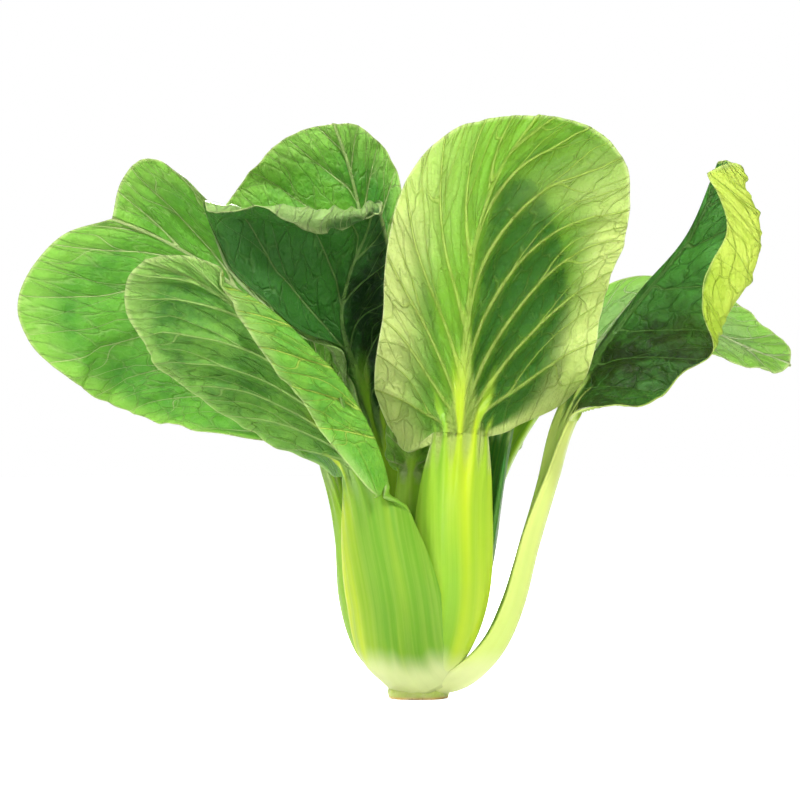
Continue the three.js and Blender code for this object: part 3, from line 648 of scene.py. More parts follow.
def leaf_surface(leaf, sizes, seed):
    """Upper and lower points of a leaf on one grid, in millimetres, and the values its finish reads.

    Middle surface + normal * bulges between the veins, then half the skin out to each side. The upper face
    adds a part of the midrib; the lower adds the rest of it, the ridges of the veins and of the stalk.
    """
    s, b, v, t = leaf_grid(leaf, sizes["rows"], sizes["columns"], seed)
    lines, spacing = vein_lines(leaf, s, b, v, t, seed)
    x = blade_part(leaf, s)
    points = middle_surface(leaf, s, b)
    normals = surface_normals(leaf, s, b)
    skin, rib, reach = skin_thickness(leaf, s, b, sizes["blade_thick"])
    q = np.abs(b) / reach
    in_blade = smooth(t, 0.0, 0.03) * smooth(q, 0.5, 1.1)
    half_stalk = leaf["stem"][2]
    above_stalk = 1 - smooth(np.abs(b), 0.9 * half_stalk, 1.5 * half_stalk)
    in_blade *= 1 - above_stalk * (1 - smooth(x, 0, 0.12))
    loose = 1 - smooth(tightness(leaf, s, b), *FOLD_EASE)
    off_main = nearest(lines[0]) * spacing
    off_branch = np.minimum(nearest(lines[1]), nearest(lines[2])) * spacing
    pillow = np.minimum(1 - np.exp(-(off_main / MAIN_PILLOW) ** 2),
                        1 - 0.6 * np.exp(-(off_branch / BRANCH_PILLOW) ** 2))
    margin = np.abs(v)
    settle = (1 - 0.5 * smooth(margin, 0.75, 1)) * loose
    lift = sizes["quilt"] * (pillow - 0.5) * in_blade * settle
    beat = s * RUFFLE_PACE + 1.5 * ripple(s * 0.12, b * 0.12, seed + 1)
    lift += sizes["ruffle"] * np.sin(beat + np.sign(v)) * smooth(margin, 0.72, 1) * smooth(x, 0.05, 0.3)
    lumps = ripple(s * 0.30, b * 0.30, seed + 2) * smooth(q, 0.8, 1.6) * smooth(x, 0, 0.15)
    lift += LUMP_HEIGHT * lumps * loose
    points = points + normals * lift[..., None]
    outer = smooth(margin, 0.90, 1.0)
    thin = mix(1, sizes["margin_thick"] / sizes["blade_thick"], outer * smooth(t, 0, 0.02))
    round_off = mix(1, 0.55, outer * (1 - smooth(x, -0.25, -0.05)) * (t <= 0))
    skin = skin * thin * round_off
    ridge_width = mix(*VEIN_RIDGE, margin)
    ridges = np.exp(-(off_main / ridge_width) ** 2) + 0.5 * np.exp(-(off_branch / (0.8 * ridge_width)) ** 2)
    ridges = np.minimum(ridges, 1) * sizes["vein_height"] * in_blade * (1 - smooth(margin, 0.75, 1))
    lanes, lane_reach = stalk_lanes(leaf, s, b, seed)
    near_neck = smooth(x, -0.22, 0) * lane_reach
    flutes = mix(sizes["stalk_ridge"], sizes["neck_ridge"], near_neck) * lanes * lane_reach
    rib = rib * (1 - 0.35 * near_neck * (1 - lanes))
    upper = points + normals * (skin / 2 + rib * (1 - RIB_OUTSIDE))[..., None]
    lower = points - normals * (skin / 2 + rib * RIB_OUTSIDE + ridges + flutes)[..., None]
    edge_b = np.abs(b[:, [0, -1]])
    edge = np.where(v < 0, edge_b[:, :1], edge_b[:, 1:]) - np.abs(b)
    stalk = np.maximum(1 - smooth(x - 0.08 * (lanes - 0.5), -0.09, 0.03),
                       smooth(lanes, 0.3, 0.9) * lane_reach)
    stalk = stalk * np.maximum(1 - smooth(x, -0.12, -0.04),
                               1 - smooth(np.abs(b), 0.9 * half_stalk, 1.2 * half_stalk))
    return upper, lower, {
        "vein_lines": np.stack(lines, -1),
        "flat": np.stack([b, lines[0], s], -1),
        "build": np.stack([spacing, margin, stalk], -1),
        "edge": edge,
        "rib": reach,
        "tipward": np.clip(t, 0, 1),
    }


def surface_normals(leaf, s, b):
    """Directions square to the middle surface: (right - left) x (ahead - behind), a small step each way."""
    step = SURFACE_STEP
    along = middle_surface(leaf, s + step, b) - middle_surface(leaf, s - step, b)
    across = middle_surface(leaf, s, b + step) - middle_surface(leaf, s, b - step)
    return unit(np.cross(across, along))


def tightness(leaf, s, b):
    """Radians the skin turns in a millimetre across: high in a fold or a roll."""
    edges = edges_at(leaf, s)
    return np.abs(turn_at(leaf, s, b + 0.5, edges) - turn_at(leaf, s, b - 0.5, edges))


def stalk_lanes(leaf, s, b, seed):
    """Ridges of the stalk that spread over the neck into the blade, 0 to 1, and where they reach.

    A lane is b / (1 + (x / LANE_SPREAD)^1.4): the lanes are straight in the stalk and part in the blade.
    """
    x = blade_part(leaf, s)
    lane = b / (1 + (np.clip(x, 0, 1) / LANE_SPREAD) ** 1.4)
    ridge = 0.5 + 0.5 * np.cos(2 * np.pi * lane / LANE_WIDTH + ripple(s * 0.03, lane * 0.1, seed + 3))
    width = stalk_half_width(leaf, s / leaf["neck"])
    inside = np.maximum(1 - smooth(np.abs(lane), 0.75 * width, 1.15 * width), 1 - smooth(x, -0.3, -0.15))
    return ridge, inside * (1 - smooth(x, 0.2 * leaf["lanes"], leaf["lanes"]))


def shell_faces(rows, columns):
    """Quads of two grids, upper then lower, closed by a strip along each of their four sides."""
    count = rows * columns
    at = np.arange(count).reshape(rows, columns)
    a, b, c, d = at[:-1, :-1], at[:-1, 1:], at[1:, 1:], at[1:, :-1]
    quads = [np.stack(q, -1).reshape(-1, 4) for q in (
        (a, b, c, d),
        (d + count, c + count, b + count, a + count),
        (at[1:, 0], at[1:, 0] + count, at[:-1, 0] + count, at[:-1, 0]),
        (at[:-1, -1], at[:-1, -1] + count, at[1:, -1] + count, at[1:, -1]),
        (at[0, 1:], at[0, :-1], at[0, :-1] + count, at[0, 1:] + count),
        (at[-1, :-1], at[-1, 1:], at[-1, 1:] + count, at[-1, :-1] + count),
    )]
    return np.vstack(quads)


def mesh_object(name, points, faces, attributes):
    """A smooth mesh object at the origin with its point attributes."""
    mesh = bpy.data.meshes.new(name)
    mesh.vertices.add(len(points))
    mesh.vertices.foreach_set("co", (points * MM).astype(np.float32).ravel())
    mesh.loops.add(faces.size)
    mesh.loops.foreach_set("vertex_index", faces.astype(np.int32).ravel())
    mesh.polygons.add(len(faces))
    mesh.polygons.foreach_set("loop_start", np.arange(0, faces.size, faces.shape[1], dtype=np.int32))
    mesh.polygons.foreach_set("use_smooth", np.ones(len(faces), bool))
    mesh.update(calc_edges=True)
    for key, values in attributes.items():
        vector = values.ndim == 2
        layer = mesh.attributes.new(key, "FLOAT_VECTOR" if vector else "FLOAT", "POINT")
        layer.data.foreach_set("vector" if vector else "value", values.astype(np.float32).ravel())
    if mesh.validate():
        raise RuntimeError(f"{name} has faces that don't close")
    made = bpy.data.objects.new(name, mesh)
    bpy.context.scene.collection.objects.link(made)
    return made


# ---- Shader building blocks --------------------------------------
def place(tree, kind, inputs=None, **settings):
    """A shader node with its settings, and its inputs given as values or as sockets to link."""
    made = tree.nodes.new(kind)
    for key, value in settings.items():
        setattr(made, key, value)
    for key, value in (inputs or {}).items():
        if isinstance(value, bpy.types.NodeSocket):
            tree.links.new(value, made.inputs[key])
        else:
            made.inputs[key].default_value = value
    return made


def maths(tree, operation, *values):
    """The result of a Math node."""
    return place(tree, "ShaderNodeMath", dict(enumerate(values)), operation=operation).outputs[0]


def times(tree, value, factor):
    """value x factor."""
    return maths(tree, "MULTIPLY", value, factor)


def scaled_plus(tree, value, factor, more):
    """value x factor + more."""
    return maths(tree, "MULTIPLY_ADD", value, factor, more)


def ramp(tree, value, start, end, low=0.0, high=1.0):
    """value from start to end turned smoothly into low to high."""
    made = place(tree, "ShaderNodeMapRange", {0: value, 1: start, 2: end, 3: low, 4: high},
                 interpolation_type="SMOOTHSTEP")
    return made.outputs[0]


def blend(tree, share, first, second):
    """Colour first at share 0, second at share 1."""
    made = place(tree, "ShaderNodeMix", {0: share}, data_type="RGBA")
    for socket, value in ((made.inputs[6], first), (made.inputs[7], second)):
        if isinstance(value, bpy.types.NodeSocket):
            tree.links.new(value, socket)
        else:
            socket.default_value = (*value, 1)
    return made.outputs[2]


def parts(tree, vector):
    """The three numbers of a vector."""
    return place(tree, "ShaderNodeSeparateXYZ", {0: vector}).outputs


def vector_of(tree, x, y, z=0.0):
    """A vector of three numbers."""
    return place(tree, "ShaderNodeCombineXYZ", {0: x, 1: y, 2: z}).outputs[0]


def vector_maths(tree, operation, *values):
    """The vector that a Vector Math node gives."""
    return place(tree, "ShaderNodeVectorMath", dict(enumerate(values)), operation=operation).outputs[0]


def soft_noise(tree, spot, scale, detail, low, high):
    """Noise at a place, its values from low to high spread over 0 to 1."""
    made = place(tree, "ShaderNodeTexNoise",
                 {"Vector": spot, "Scale": scale, "Detail": detail, "Roughness": 0.55})
    return ramp(tree, made.outputs["Fac"], low, high)


def bump(tree, relief):
    """The normal bent by a relief in millimetres."""
    return place(tree, "ShaderNodeBump", {"Height": relief, "Distance": MM, "Strength": 1.0}).outputs[0]


def attribute(tree, name, kind="Fac"):
    """The value of a mesh attribute, or its vector."""
    return place(tree, "ShaderNodeAttribute", attribute_name=name).outputs[kind]


def object_place(tree):
    """Where on the object a point is, in metres."""
    return tree.nodes.new("ShaderNodeTexCoord").outputs["Object"]


def new_material(name):
    """A material and its emptied node tree."""
    material = bpy.data.materials.new(name)
    material.use_nodes = True
    material.node_tree.nodes.clear()
    return material, material.node_tree


def new_group(name, inputs, outputs):
    """A shader node group with named sockets, and its Group Input and Group Output nodes."""
    tree = bpy.data.node_groups.new(name, "ShaderNodeTree")
    for label, kind in inputs:
        tree.interface.new_socket(label, in_out="INPUT", socket_type=kind)
    for label, kind in outputs:
        tree.interface.new_socket(label, in_out="OUTPUT", socket_type=kind)
    return tree, tree.nodes.new("NodeGroupInput").outputs, tree.nodes.new("NodeGroupOutput").inputs


FLOAT, VECTOR = "NodeSocketFloat", "NodeSocketVector"


def vein_group():
    """Masks of the veins: full on a whole number of a vein coordinate, 0 beyond the vein's width.

    The branches are narrower and fainter than the side veins, and the midrib fades over its outer half.

    The net between the veins is the border of Voronoi cells that are stretched along the veins.
    """
    tree, given, out = new_group(
        "leaf_veins",
        [("Vein Lines", VECTOR), ("Flat", VECTOR), ("Spacing", FLOAT), ("Outward", FLOAT),
         ("Width", FLOAT), ("Rib", FLOAT), ("Seed", FLOAT)],
        [("Veins", FLOAT), ("Net", FLOAT), ("Fine Net", FLOAT)],
    )
    lines = parts(tree, given["Vein Lines"])
    thinning = scaled_plus(tree, maths(tree, "SQRT", given["Outward"]), -0.68, 1.0)
    width = times(tree, given["Width"], thinning)
    masks = []
    for socket, share in ((lines[0], 1.0), (lines[1], 0.62), (lines[2], 0.5)):
        shifted = maths(tree, "FRACT", maths(tree, "ADD", socket, 0.5))
        off = maths(tree, "ABSOLUTE", maths(tree, "SUBTRACT", shifted, 0.5))
        off = times(tree, off, given["Spacing"])
        broad = times(tree, width, share)
        narrow = times(tree, broad, 0.35)
        masks.append(times(tree, ramp(tree, off, broad, narrow), 0.5 + 0.5 * share))
    flat = parts(tree, given["Flat"])
    from_rib = maths(tree, "ABSOLUTE", flat[0])
    masks.append(ramp(tree, from_rib, given["Rib"], times(tree, given["Rib"], 0.5)))
    veins = masks[0]
    for mask in masks[1:]:
        veins = maths(tree, "MAXIMUM", veins, mask)
    tree.links.new(veins, out["Veins"])
    across = scaled_plus(tree, flat[0], 0.15, given["Seed"])
    cells = vector_of(tree, across, times(tree, flat[1], 2.1))
    drift = place(tree, "ShaderNodeTexNoise", {"Vector": cells, "Scale": 1.3, "Detail": 1.0})
    moved = vector_maths(tree, "MULTIPLY_ADD", drift.outputs["Color"], (0.9, 0.9, 0), cells)
    for label, scale, band in (("Net", 1.0, 0.075), ("Fine Net", 2.7, 0.10)):
        cell = place(tree, "ShaderNodeTexVoronoi", {"Vector": moved, "Scale": scale},
                     voronoi_dimensions="2D", feature="DISTANCE_TO_EDGE")
        tree.links.new(ramp(tree, cell.outputs["Distance"], band, 0.0), out[label])
    return tree


def streak_group():
    """Long streaks and fibres of a leaf stalk: noise drawn out along the stalk."""
    tree, given, out = new_group(
        "stalk_streaks", [("Flat", VECTOR), ("Seed", FLOAT)],
        [("Streaks", FLOAT), ("Fibres", FLOAT)],
    )
    flat = parts(tree, given["Flat"])
    for label, wide, long, detail in (("Streaks", 0.13, 0.006, 1.0), ("Fibres", 0.9, 0.012, 2.0)):
        spot = vector_of(tree, times(tree, flat[0], wide), times(tree, flat[2], long), given["Seed"])
        tree.links.new(soft_noise(tree, spot, 1.0, detail, 0.25, 0.75), out[label])
    return tree


def mottle_group():
    """Unevenness of living tissue: broad patches, small crinkles and fine grain, all of noise in place."""
    tree, given, out = new_group(
        "leaf_mottle", [("Position", VECTOR), ("Seed", FLOAT)],
        [("Patches", FLOAT), ("Crinkle", FLOAT), ("Grain", FLOAT)],
    )
    shifted = vector_maths(tree, "ADD", given["Position"], vector_of(tree, given["Seed"], 0.0))
    for label, scale in (("Patches", 38.0), ("Crinkle", 330.0), ("Grain", 850.0)):
        tree.links.new(soft_noise(tree, shifted, scale, 2.0, 0.3, 0.7), out[label])
    return tree


def group_node(tree, name, build, inputs):
    """The outputs of a node group placed in a material; the group is built the first time."""
    group = bpy.data.node_groups.get(name) or build()
    return place(tree, "ShaderNodeGroup", inputs, node_tree=group).outputs


def leaf_material(name, finish):
    """Living leaf: two faces, veins, net, streaked stalk, pale margin, and light that passes through."""
    material, tree = new_material(name)
    seed = float(finish["seed"])
    position = object_place(tree)
    flat = attribute(tree, "flat", "Vector")
    spacing, outward, stalk = parts(tree, attribute(tree, "build", "Vector"))
    upper = attribute(tree, "upper_side")
    edge = attribute(tree, "edge")
    tipward = attribute(tree, "tipward")
    veins = group_node(tree, "leaf_veins", vein_group, {
        "Vein Lines": attribute(tree, "vein_lines", "Vector"), "Flat": flat, "Spacing": spacing,
        "Outward": outward, "Width": finish["vein"], "Rib": attribute(tree, "rib"), "Seed": seed})
    streaks = group_node(tree, "stalk_streaks", streak_group, {"Flat": flat, "Seed": seed})
    mottle = group_node(tree, "leaf_mottle", mottle_group, {"Position": position, "Seed": seed * 0.1})
    in_blade = maths(tree, "SUBTRACT", 1.0, stalk)
    net = maths(tree, "MAXIMUM", veins["Net"], times(tree, veins["Fine Net"], 0.4))

    # Painted light and shade: brightness added to the random mottle for each half and for the end near the
    # tip
    left_painted_light, right_painted_light, tip_painted_light = finish["tone_and_painted_light"]
    tone_and_painted_light = scaled_plus(tree, mottle["Crinkle"], 0.35, times(tree, mottle["Patches"], 0.65))
    sideways = parts(tree, flat)[0]
    tone_and_painted_light = maths(tree, "ADD", tone_and_painted_light, ramp(tree, sideways, -10.0, 10.0, left_painted_light, right_painted_light))
    tone_and_painted_light = maths(tree, "ADD", tone_and_painted_light, ramp(tree, tipward, 0.4, 0.85, 0.0, tip_painted_light))
    upper_tone, lower_tone = (blend(tree, tone_and_painted_light, *map(tint, finish[face])) for face in ("upper", "lower"))
    blade = blend(tree, upper, lower_tone, upper_tone)
    vein_tone = blend(tree, upper, *map(tint, reversed(finish["veins"])))
    # Paler band along the margin: the margin's own paler colour, and on the front right leaf a broad band of
    # painted light
    rim_colour, rim_width = finish["rim"]
    uneven = scaled_plus(tree, mottle["Patches"], 3.0, edge)
    rim = ramp(tree, uneven, rim_width, rim_width * 0.35, 0.0, 0.85)
    rim = times(tree, rim, ramp(tree, tipward, *finish["rim_fade"], 1.0, 0.0))
    blade = blend(tree, rim, blade, tint(rim_colour))
    blade = blend(tree, times(tree, net, 0.18), blade, vein_tone)
    blade = blend(tree, times(tree, veins["Veins"], 0.85), blade, vein_tone)
    blade = blend(tree, ramp(tree, edge, 0.7, 0.1, 0.0, 0.7), blade, tint(finish["margin"]))

    # Painted light: one side of the stalk is made yellower and brighter, and the other side greener
    painted_stalk_light = ramp(tree, sideways, -14.0, 14.0, *finish["stalk_painted_light"])
    yellow = maths(tree, "ADD", streaks["Streaks"], painted_stalk_light)
    stem = blend(tree, yellow, *map(tint, finish["stalk"]))
    stem = blend(tree, times(tree, streaks["Fibres"], 0.18), stem, tint("d6e46a"))
    height = scaled_plus(tree, streaks["Streaks"], 0.005, parts(tree, position)[2])
    pale = ramp(tree, height, finish["base"] + 0.011, finish["base"] + 0.001, 0.0, 0.9)
    stem = blend(tree, pale, stem, tint("e8f0b0"))
    colour = blend(tree, stalk, blade, stem)

    relief = scaled_plus(tree, veins["Veins"], 0.9, times(tree, veins["Net"], 0.5))
    relief = scaled_plus(tree, veins["Fine Net"], 0.12, relief)
    relief = times(tree, relief, ramp(tree, upper, 0.0, 1.0, 1.0, -1.0))
    relief = scaled_plus(tree, mottle["Crinkle"], 0.35, relief)
    relief = scaled_plus(tree, mottle["Grain"], 0.12, relief)
    relief = times(tree, relief, in_blade)
    fibres = times(tree, streaks["Fibres"], 0.05)
    normal = bump(tree, maths(tree, "ADD", relief, times(tree, fibres, stalk)))

    rough = scaled_plus(tree, mottle["Crinkle"], 0.10, ramp(tree, stalk, 0.0, 1.0, 0.44, 0.28))
    skin = place(tree, "ShaderNodeBsdfPrincipled", {
        "Base Color": colour, "Roughness": rough, "Normal": normal,
        "Specular IOR Level": ramp(tree, stalk, 0.0, 1.0, 0.35, 0.25),
        "Subsurface Weight": 0.12, "Subsurface Radius": (0.6, 1.0, 0.25), "Subsurface Scale": 0.0025})
    blocked = maths(tree, "MAXIMUM", veins["Veins"], times(tree, net, 0.55))
    lit = blend(tree, times(tree, rim, 0.6), tint(finish["glow"]), tint("f0f6c8"))
    lit = blend(tree, times(tree, blocked, 0.3), lit, tint("9cc044"))
    through = place(tree, "ShaderNodeBsdfTranslucent", {"Color": lit, "Normal": normal})
    share = scaled_plus(tree, in_blade, finish["thin"] - 0.08, 0.08)
    share = times(tree, share, scaled_plus(tree, rim, -0.4, 1.0))
    both = place(tree, "ShaderNodeMixShader", {0: share, 1: skin.outputs[0], 2: through.outputs[0]})
    place(tree, "ShaderNodeOutputMaterial", {"Surface": both.outputs[0]})
    return material


def butt_material(settings):
    """Trimmed stem: a dry tan cut with rings and brown specks, and pale mottled flesh around it."""
    material, tree = new_material("butt")
    position = object_place(tree)
    cut = attribute(tree, "cut")
    mottle = group_node(tree, "leaf_mottle", mottle_group, {"Position": position, "Seed": 0.7})
    rings = place(tree, "ShaderNodeTexWave",
                  {"Vector": position, "Scale": 180.0, "Distortion": 3.0, "Detail": 2.0},
                  wave_type="RINGS", rings_direction="Z").outputs["Fac"]
    specks = place(tree, "ShaderNodeTexVoronoi", {"Vector": position, "Scale": 700.0}).outputs["Distance"]
    dry = blend(tree, rings, list(settings.cut_colour), tint("efcf94"))
    dry = blend(tree, ramp(tree, specks, 0.28, 0.1, 0.0, 0.8), dry, tint("8a4a22"))
    flesh = blend(tree, mottle["Crinkle"], list(settings.flesh_colour), tint("cfd98a"))
    colour = blend(tree, cut, flesh, dry)
    relief = scaled_plus(tree, mottle["Crinkle"], 0.3, times(tree, rings, 0.15))
    skin = place(tree, "ShaderNodeBsdfPrincipled", {
        "Base Color": colour, "Roughness": scaled_plus(tree, cut, 0.3, 0.45), "Normal": bump(tree, relief),
        "Subsurface Weight": 0.1, "Subsurface Radius": (1.0, 0.8, 0.4), "Subsurface Scale": 0.002})
    place(tree, "ShaderNodeOutputMaterial", {"Surface": skin.outputs[0]})
    return material


# ---- Operators ---------------------------------------------------
def build_leaf(name, settings):
    """One finished leaf in the place of its solid."""
    leaf = prepared(LEAVES[name])
    finish = {**FINISH_DEFAULTS, **FINISHES[name]}
    lengths = ("blade_thick", "margin_thick", "quilt", "vein_height", "ruffle", "stalk_ridge", "neck_ridge")
    sizes = {key: getattr(settings, key) / MM for key in lengths}
    sizes["ruffle"] *= finish["frill"]
    small = max(leaf["width"]) < SMALL_LEAF
    sizes["rows"] = settings.rows_per_vein * 3 // 4 if small else settings.rows_per_vein
    sizes["columns"] = settings.columns // 2 if small else settings.columns
    upper, lower, values = leaf_surface(leaf, sizes, finish["seed"])
    rows, columns = upper.shape[:2]
    points = np.vstack([upper.reshape(-1, 3), lower.reshape(-1, 3)])
    attributes = {}
    for key, value in values.items():
        attributes[key] = np.concatenate([value.reshape(rows * columns, -1)] * 2).squeeze()
    attributes["upper_side"] = np.repeat([1.0, 0.0], rows * columns)
    made = mesh_object(name + "_skin", points, shell_faces(rows, columns), attributes)
    made.data.materials.append(leaf_material(name, finish))
    finish_piece(made, name)


def build_leaves(context, *names):
    """The finished leaves of those names."""
    for name in names:
        build_leaf(name, context.scene.bokchoy_leaves)
    return {"FINISHED"}


def finish_piece(made, node):
    """The piece stands for its solid and rides with the head."""
    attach(made, "root")
    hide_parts(node)


class BOKCHOY_OT_front_leaves(bpy.types.Operator):
    """Build the two big leaves at the front, which show their lower faces"""

    bl_idname = "bokchoy.front_leaves"
    bl_label = "Front Leaves"

    def execute(self, context):
        return build_leaves(context, "leaf_front_left", "leaf_front_right")


class BOKCHOY_OT_side_leaves(bpy.types.Operator):
    """Build the leaves that spread to the left and the right"""

    bl_idname = "bokchoy.side_leaves"
    bl_label = "Side Leaves"

    def execute(self, context):
        return build_leaves(context, "leaf_right", "leaf_far_left", "leaf_far_right")


class BOKCHOY_OT_back_leaves(bpy.types.Operator):
    """Build the upright leaves behind the front pair"""

    bl_idname = "bokchoy.back_leaves"
    bl_label = "Back Leaves"

    def execute(self, context):
        return build_leaves(
            context, "leaf_cupped_left", "leaf_back_left", "leaf_back_right", "leaf_back_centre")


class BOKCHOY_OT_rear_leaves(bpy.types.Operator):
    """Build the outer leaves at the rear"""

    bl_idname = "bokchoy.rear_leaves"
    bl_label = "Rear Leaves"

    def execute(self, context):
        return build_leaves(context, "leaf_rear_left", "leaf_rear_right")


class BOKCHOY_OT_heart_leaves(bpy.types.Operator):
    """Build the two small leaves of the heart"""

    bl_idname = "bokchoy.heart_leaves"
    bl_label = "Heart Leaves"

    def execute(self, context):
        return build_leaves(context, "leaf_heart_left", "leaf_heart_right")


class BOKCHOY_OT_butt(bpy.types.Operator):
    """Build the trimmed butt: a flat ragged cut with a short dome of stem above it"""

    bl_idname = "bokchoy.butt"
    bl_label = "Trimmed Butt"

    def execute(self, context):
        settings = context.scene.bokchoy_butt
        low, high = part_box("butt")
        radius = (high.x - low.x) / 2 / MM
        tall = (high.z - low.z) / MM
        points, faces, cut = butt_surface(radius, tall, settings.rings, settings.around)
        made = mesh_object("butt_skin", points, faces, {"cut": cut})
        made.data.materials.append(butt_material(settings))
        finish_piece(made, "butt")
        return {"FINISHED"}


def ring_triangles(at):
    """Triangles between neighbouring rings, from their point numbers: one row for each ring."""
    right = np.roll(at, -1, axis=1)
    quads = np.stack([at[:-1], right[:-1], right[1:], at[1:]], -1).reshape(-1, 4)
    return np.vstack([quads[:, [0, 1, 2]], quads[:, [0, 2, 3]]])


def fan_triangles(middle, ring):
    """Triangles from a middle point to the points of a ring."""
    return np.stack([np.full(len(ring), middle), np.roll(ring, -1), ring], -1)


def butt_surface(radius, tall, rings, around):
    """A lathe: radius by height, times 1 + small sines around, with the cut face's centre sunk a little.

    The profile runs from the middle of the cut face out to its rim, up the side and over the dome.
    """
    face_r = np.linspace(0.02, 0.96, rings)
    side = np.array([(0.985, 0.3), (1.0, 1.0), (1.02, 2.2), (1.0, 3.6), (0.97, 5.2), (0.88, 7.4),
                     (0.72, 10.0), (0.52, 12.4), (0.30, 14.2), (0.02, tall)])
    side = curve_table(side, 3 * rings)
    profile_r = np.concatenate([face_r, side[:, 0]]) * radius
    profile_z = np.concatenate([np.zeros(rings), side[:, 1]])
    angle = np.linspace(0, 2 * np.pi, around, endpoint=False)
    r, a = np.meshgrid(profile_r, angle, indexing="ij")
    z = np.repeat(profile_z[:, None], around, 1)
    out = smooth(r / radius, 0.6, 1)
    ragged = 1 + out * (0.020 * np.sin(5 * a + 0.6) + 0.014 * np.sin(11 * a + 1) + 0.008 * np.sin(23 * a))
    r = r * ragged
    z = z + 0.12 * (1 - smooth(r / radius, 0.2, 0.9)) * (z == 0)
    points = np.stack([r * np.cos(a), r * np.sin(a), z], -1).reshape(-1, 3)
    ends = np.array([[0, 0, points[0, 2]], [0, 0, tall]])
    cut = np.concatenate([(1 - smooth(z, 0.2, 1.2)).ravel(), [1.0, 0.0]])
    at = np.arange(len(points)).reshape(-1, around)
    triangles = np.vstack([
        ring_triangles(at), fan_triangles(at.size, at[0]), fan_triangles(at.size + 1, at[-1])[:, [0, 2, 1]]])
    return np.vstack([points, ends]), triangles, cut


# Soft lights: name, place in metres, side of the square, power in watts, colour
LIGHTS = (
    ("key_light", (0.42, -0.62, 0.95), 0.2, 9.0, (1.0, 0.99, 0.95)),
    ("back_light", (0.06, 1.35, 0.66), 0.12, 30.0, (1.0, 0.99, 0.92)),
    ("left_light", (-0.75, -0.5, 0.75), 0.2, 6.5, (1.0, 0.99, 0.95)),
    ("front_light", (-0.15, -1.1, 0.2), 0.25, 1.8, (1.0, 0.99, 0.95)),
)
HEAD_MIDDLE = Vector((0, 0, 0.11))  # where the lights look
FLOOR_SIDES = 96


class BOKCHOY_OT_stage(bpy.types.Operator):
    """Lay the pale floor, hang the soft lights and place the level camera"""

    bl_idname = "bokchoy.stage"
    bl_label = "Stage"

    def execute(self, context):
        settings = context.scene.bokchoy_stage
        floor(settings)
        sky(settings)
        for light in LIGHTS:
            soft_light(*light)
        camera(settings)
        return {"FINISHED"}


def for_camera(tree, others, seen):
    """The shader seen for the camera's own rays, and others for all the rest."""
    ray = tree.nodes.new("ShaderNodeLightPath").outputs["Is Camera Ray"]
    inputs = {0: ray, 1: others.outputs[0], 2: seen.outputs[0]}
    return place(tree, "ShaderNodeMixShader", inputs).outputs[0]


def floor(settings):
    """A round pale floor that shines too, for the camera only, so that it is seen nearly white."""
    angle = np.linspace(0, 2 * np.pi, FLOOR_SIDES, endpoint=False)
    ring = np.stack([np.cos(angle), np.sin(angle), np.zeros(FLOOR_SIDES)], -1)
    radii = np.array([0.3, 1.0, 2.5, settings.floor_radius]) / MM
    points = np.vstack([[[0, 0, 0]], (radii[:, None, None] * ring).reshape(-1, 3)])
    at = np.arange(1, len(points)).reshape(-1, FLOOR_SIDES)
    made = mesh_object("floor", points, np.vstack([fan_triangles(0, at[0]), ring_triangles(at)])[:, ::-1], {})
    material, tree = new_material("pale_floor")
    matt = place(tree, "ShaderNodeBsdfDiffuse", {"Color": (0.86, 0.86, 0.85, 1)})
    bright = place(tree, "ShaderNodeEmission", {"Color": (1, 1, 1, 1), "Strength": 0.92})
    seen = place(tree, "ShaderNodeAddShader", {0: matt.outputs[0], 1: bright.outputs[0]})
    place(tree, "ShaderNodeOutputMaterial", {"Surface": for_camera(tree, matt, seen)})
    made.data.materials.append(material)


def sky(settings):
    """White light from all round, stronger from the front, seen as plain white."""
    world = bpy.data.worlds.new("white_room")
    bpy.context.scene.world = world
    world.use_nodes = True
    tree = world.node_tree
    tree.nodes.clear()
    seen = place(tree, "ShaderNodeBackground", {"Color": (1, 1, 1, 1), "Strength": 1.0})
    towards = parts(tree, tree.nodes.new("ShaderNodeTexCoord").outputs["Generated"])[1]
    strength = times(tree, ramp(tree, towards, -0.6, 0.6, 1.25, 0.3), settings.sky)
    lighting = place(tree, "ShaderNodeBackground", {"Color": (0.97, 0.99, 1, 1), "Strength": strength})
    place(tree, "ShaderNodeOutputWorld", {"Surface": for_camera(tree, lighting, seen)})


def soft_light(name, spot, size, power, colour):
    """A square soft light that looks at the middle of the head."""
    data = bpy.data.lights.new(name, "AREA")
    data.size = size
    data.energy = power
    data.color = colour
    made = bpy.data.objects.new(name, data)
    made.location = spot
    made.rotation_euler = (HEAD_MIDDLE - Vector(spot)).to_track_quat("-Z", "Y").to_euler()
    made.visible_camera = False
    bpy.context.scene.collection.objects.link(made)


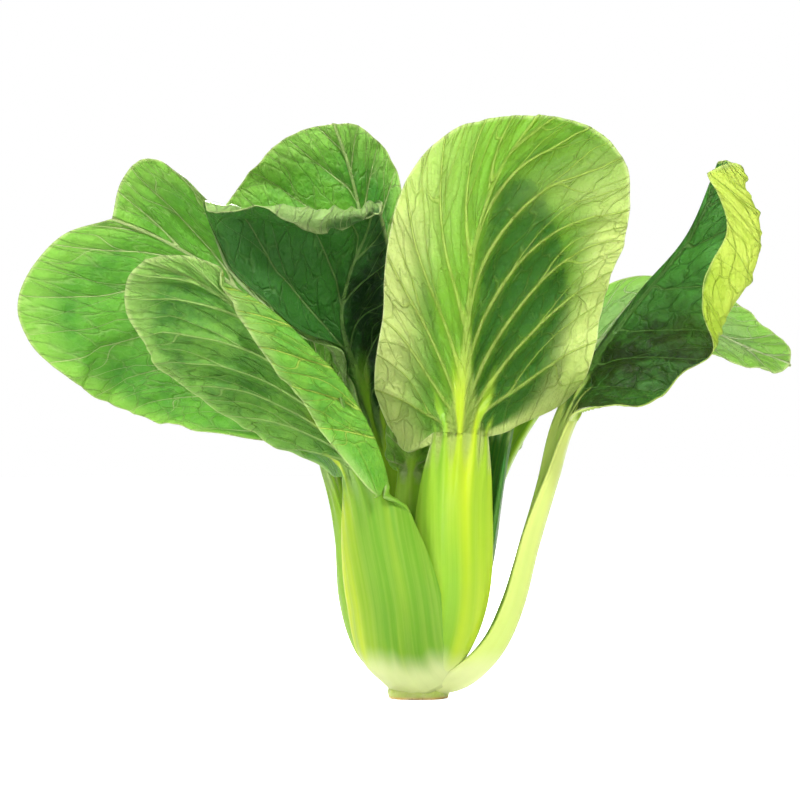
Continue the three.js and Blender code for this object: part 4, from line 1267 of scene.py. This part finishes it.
def camera(settings):
    """A level camera in front of the head; the lens gives the view's width at the head."""
    data = bpy.data.cameras.new("camera")
    data.sensor_width = 36
    data.lens = data.sensor_width * settings.camera_distance / settings.view_width
    made = bpy.data.objects.new("camera", data)
    made.location = (settings.camera_side, -settings.camera_distance, settings.camera_height)
    made.rotation_euler = (math.pi / 2, 0, 0)
    bpy.context.scene.collection.objects.link(made)
    bpy.context.scene.camera = made
    bpy.context.scene.view_settings.view_transform = "Standard"


class BOKCHOY_PT_head(bpy.types.Panel):
    """Lists what builds the head of bok choy"""

    bl_label = "Bok Choy"
    bl_idname = "BOKCHOY_PT_head"
    bl_space_type = "VIEW_3D"
    bl_region_type = "UI"
    bl_category = "Bok Choy"

    def draw(self, context):
        for group in ("bokchoy_leaves", "bokchoy_butt", "bokchoy_stage"):
            settings = getattr(context.scene, group)
            box = self.layout.box()
            for key in settings.bl_rna.properties.keys():
                if key not in ("rna_type", "name"):
                    box.prop(settings, key)
        for operator in OPERATORS:
            self.layout.operator(operator.bl_idname)


OPERATORS = (
    BOKCHOY_OT_butt, BOKCHOY_OT_front_leaves, BOKCHOY_OT_side_leaves, BOKCHOY_OT_back_leaves,
    BOKCHOY_OT_rear_leaves, BOKCHOY_OT_heart_leaves, BOKCHOY_OT_stage,
)
CLASSES = (BokChoyLeafSettings, BokChoyButtSettings, BokChoyStageSettings, *OPERATORS, BOKCHOY_PT_head)


def register():
    """Add the classes and the settings to Blender."""
    for item in CLASSES:
        bpy.utils.register_class(item)
    bpy.types.Scene.bokchoy_leaves = PointerProperty(type=BokChoyLeafSettings)
    bpy.types.Scene.bokchoy_butt = PointerProperty(type=BokChoyButtSettings)
    bpy.types.Scene.bokchoy_stage = PointerProperty(type=BokChoyStageSettings)


def unregister():
    """Take the settings and the classes out again."""
    del bpy.types.Scene.bokchoy_stage, bpy.types.Scene.bokchoy_butt, bpy.types.Scene.bokchoy_leaves
    for item in reversed(CLASSES):
        bpy.utils.unregister_class(item)


def main():
    """Build the head and the stage."""
    register()
    bpy.ops.bokchoy.butt()
    bpy.ops.bokchoy.front_leaves()
    bpy.ops.bokchoy.side_leaves()
    bpy.ops.bokchoy.back_leaves()
    bpy.ops.bokchoy.rear_leaves()
    bpy.ops.bokchoy.heart_leaves()
    bpy.ops.bokchoy.stage()
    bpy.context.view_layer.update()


if __name__ == "__main__":
    main()
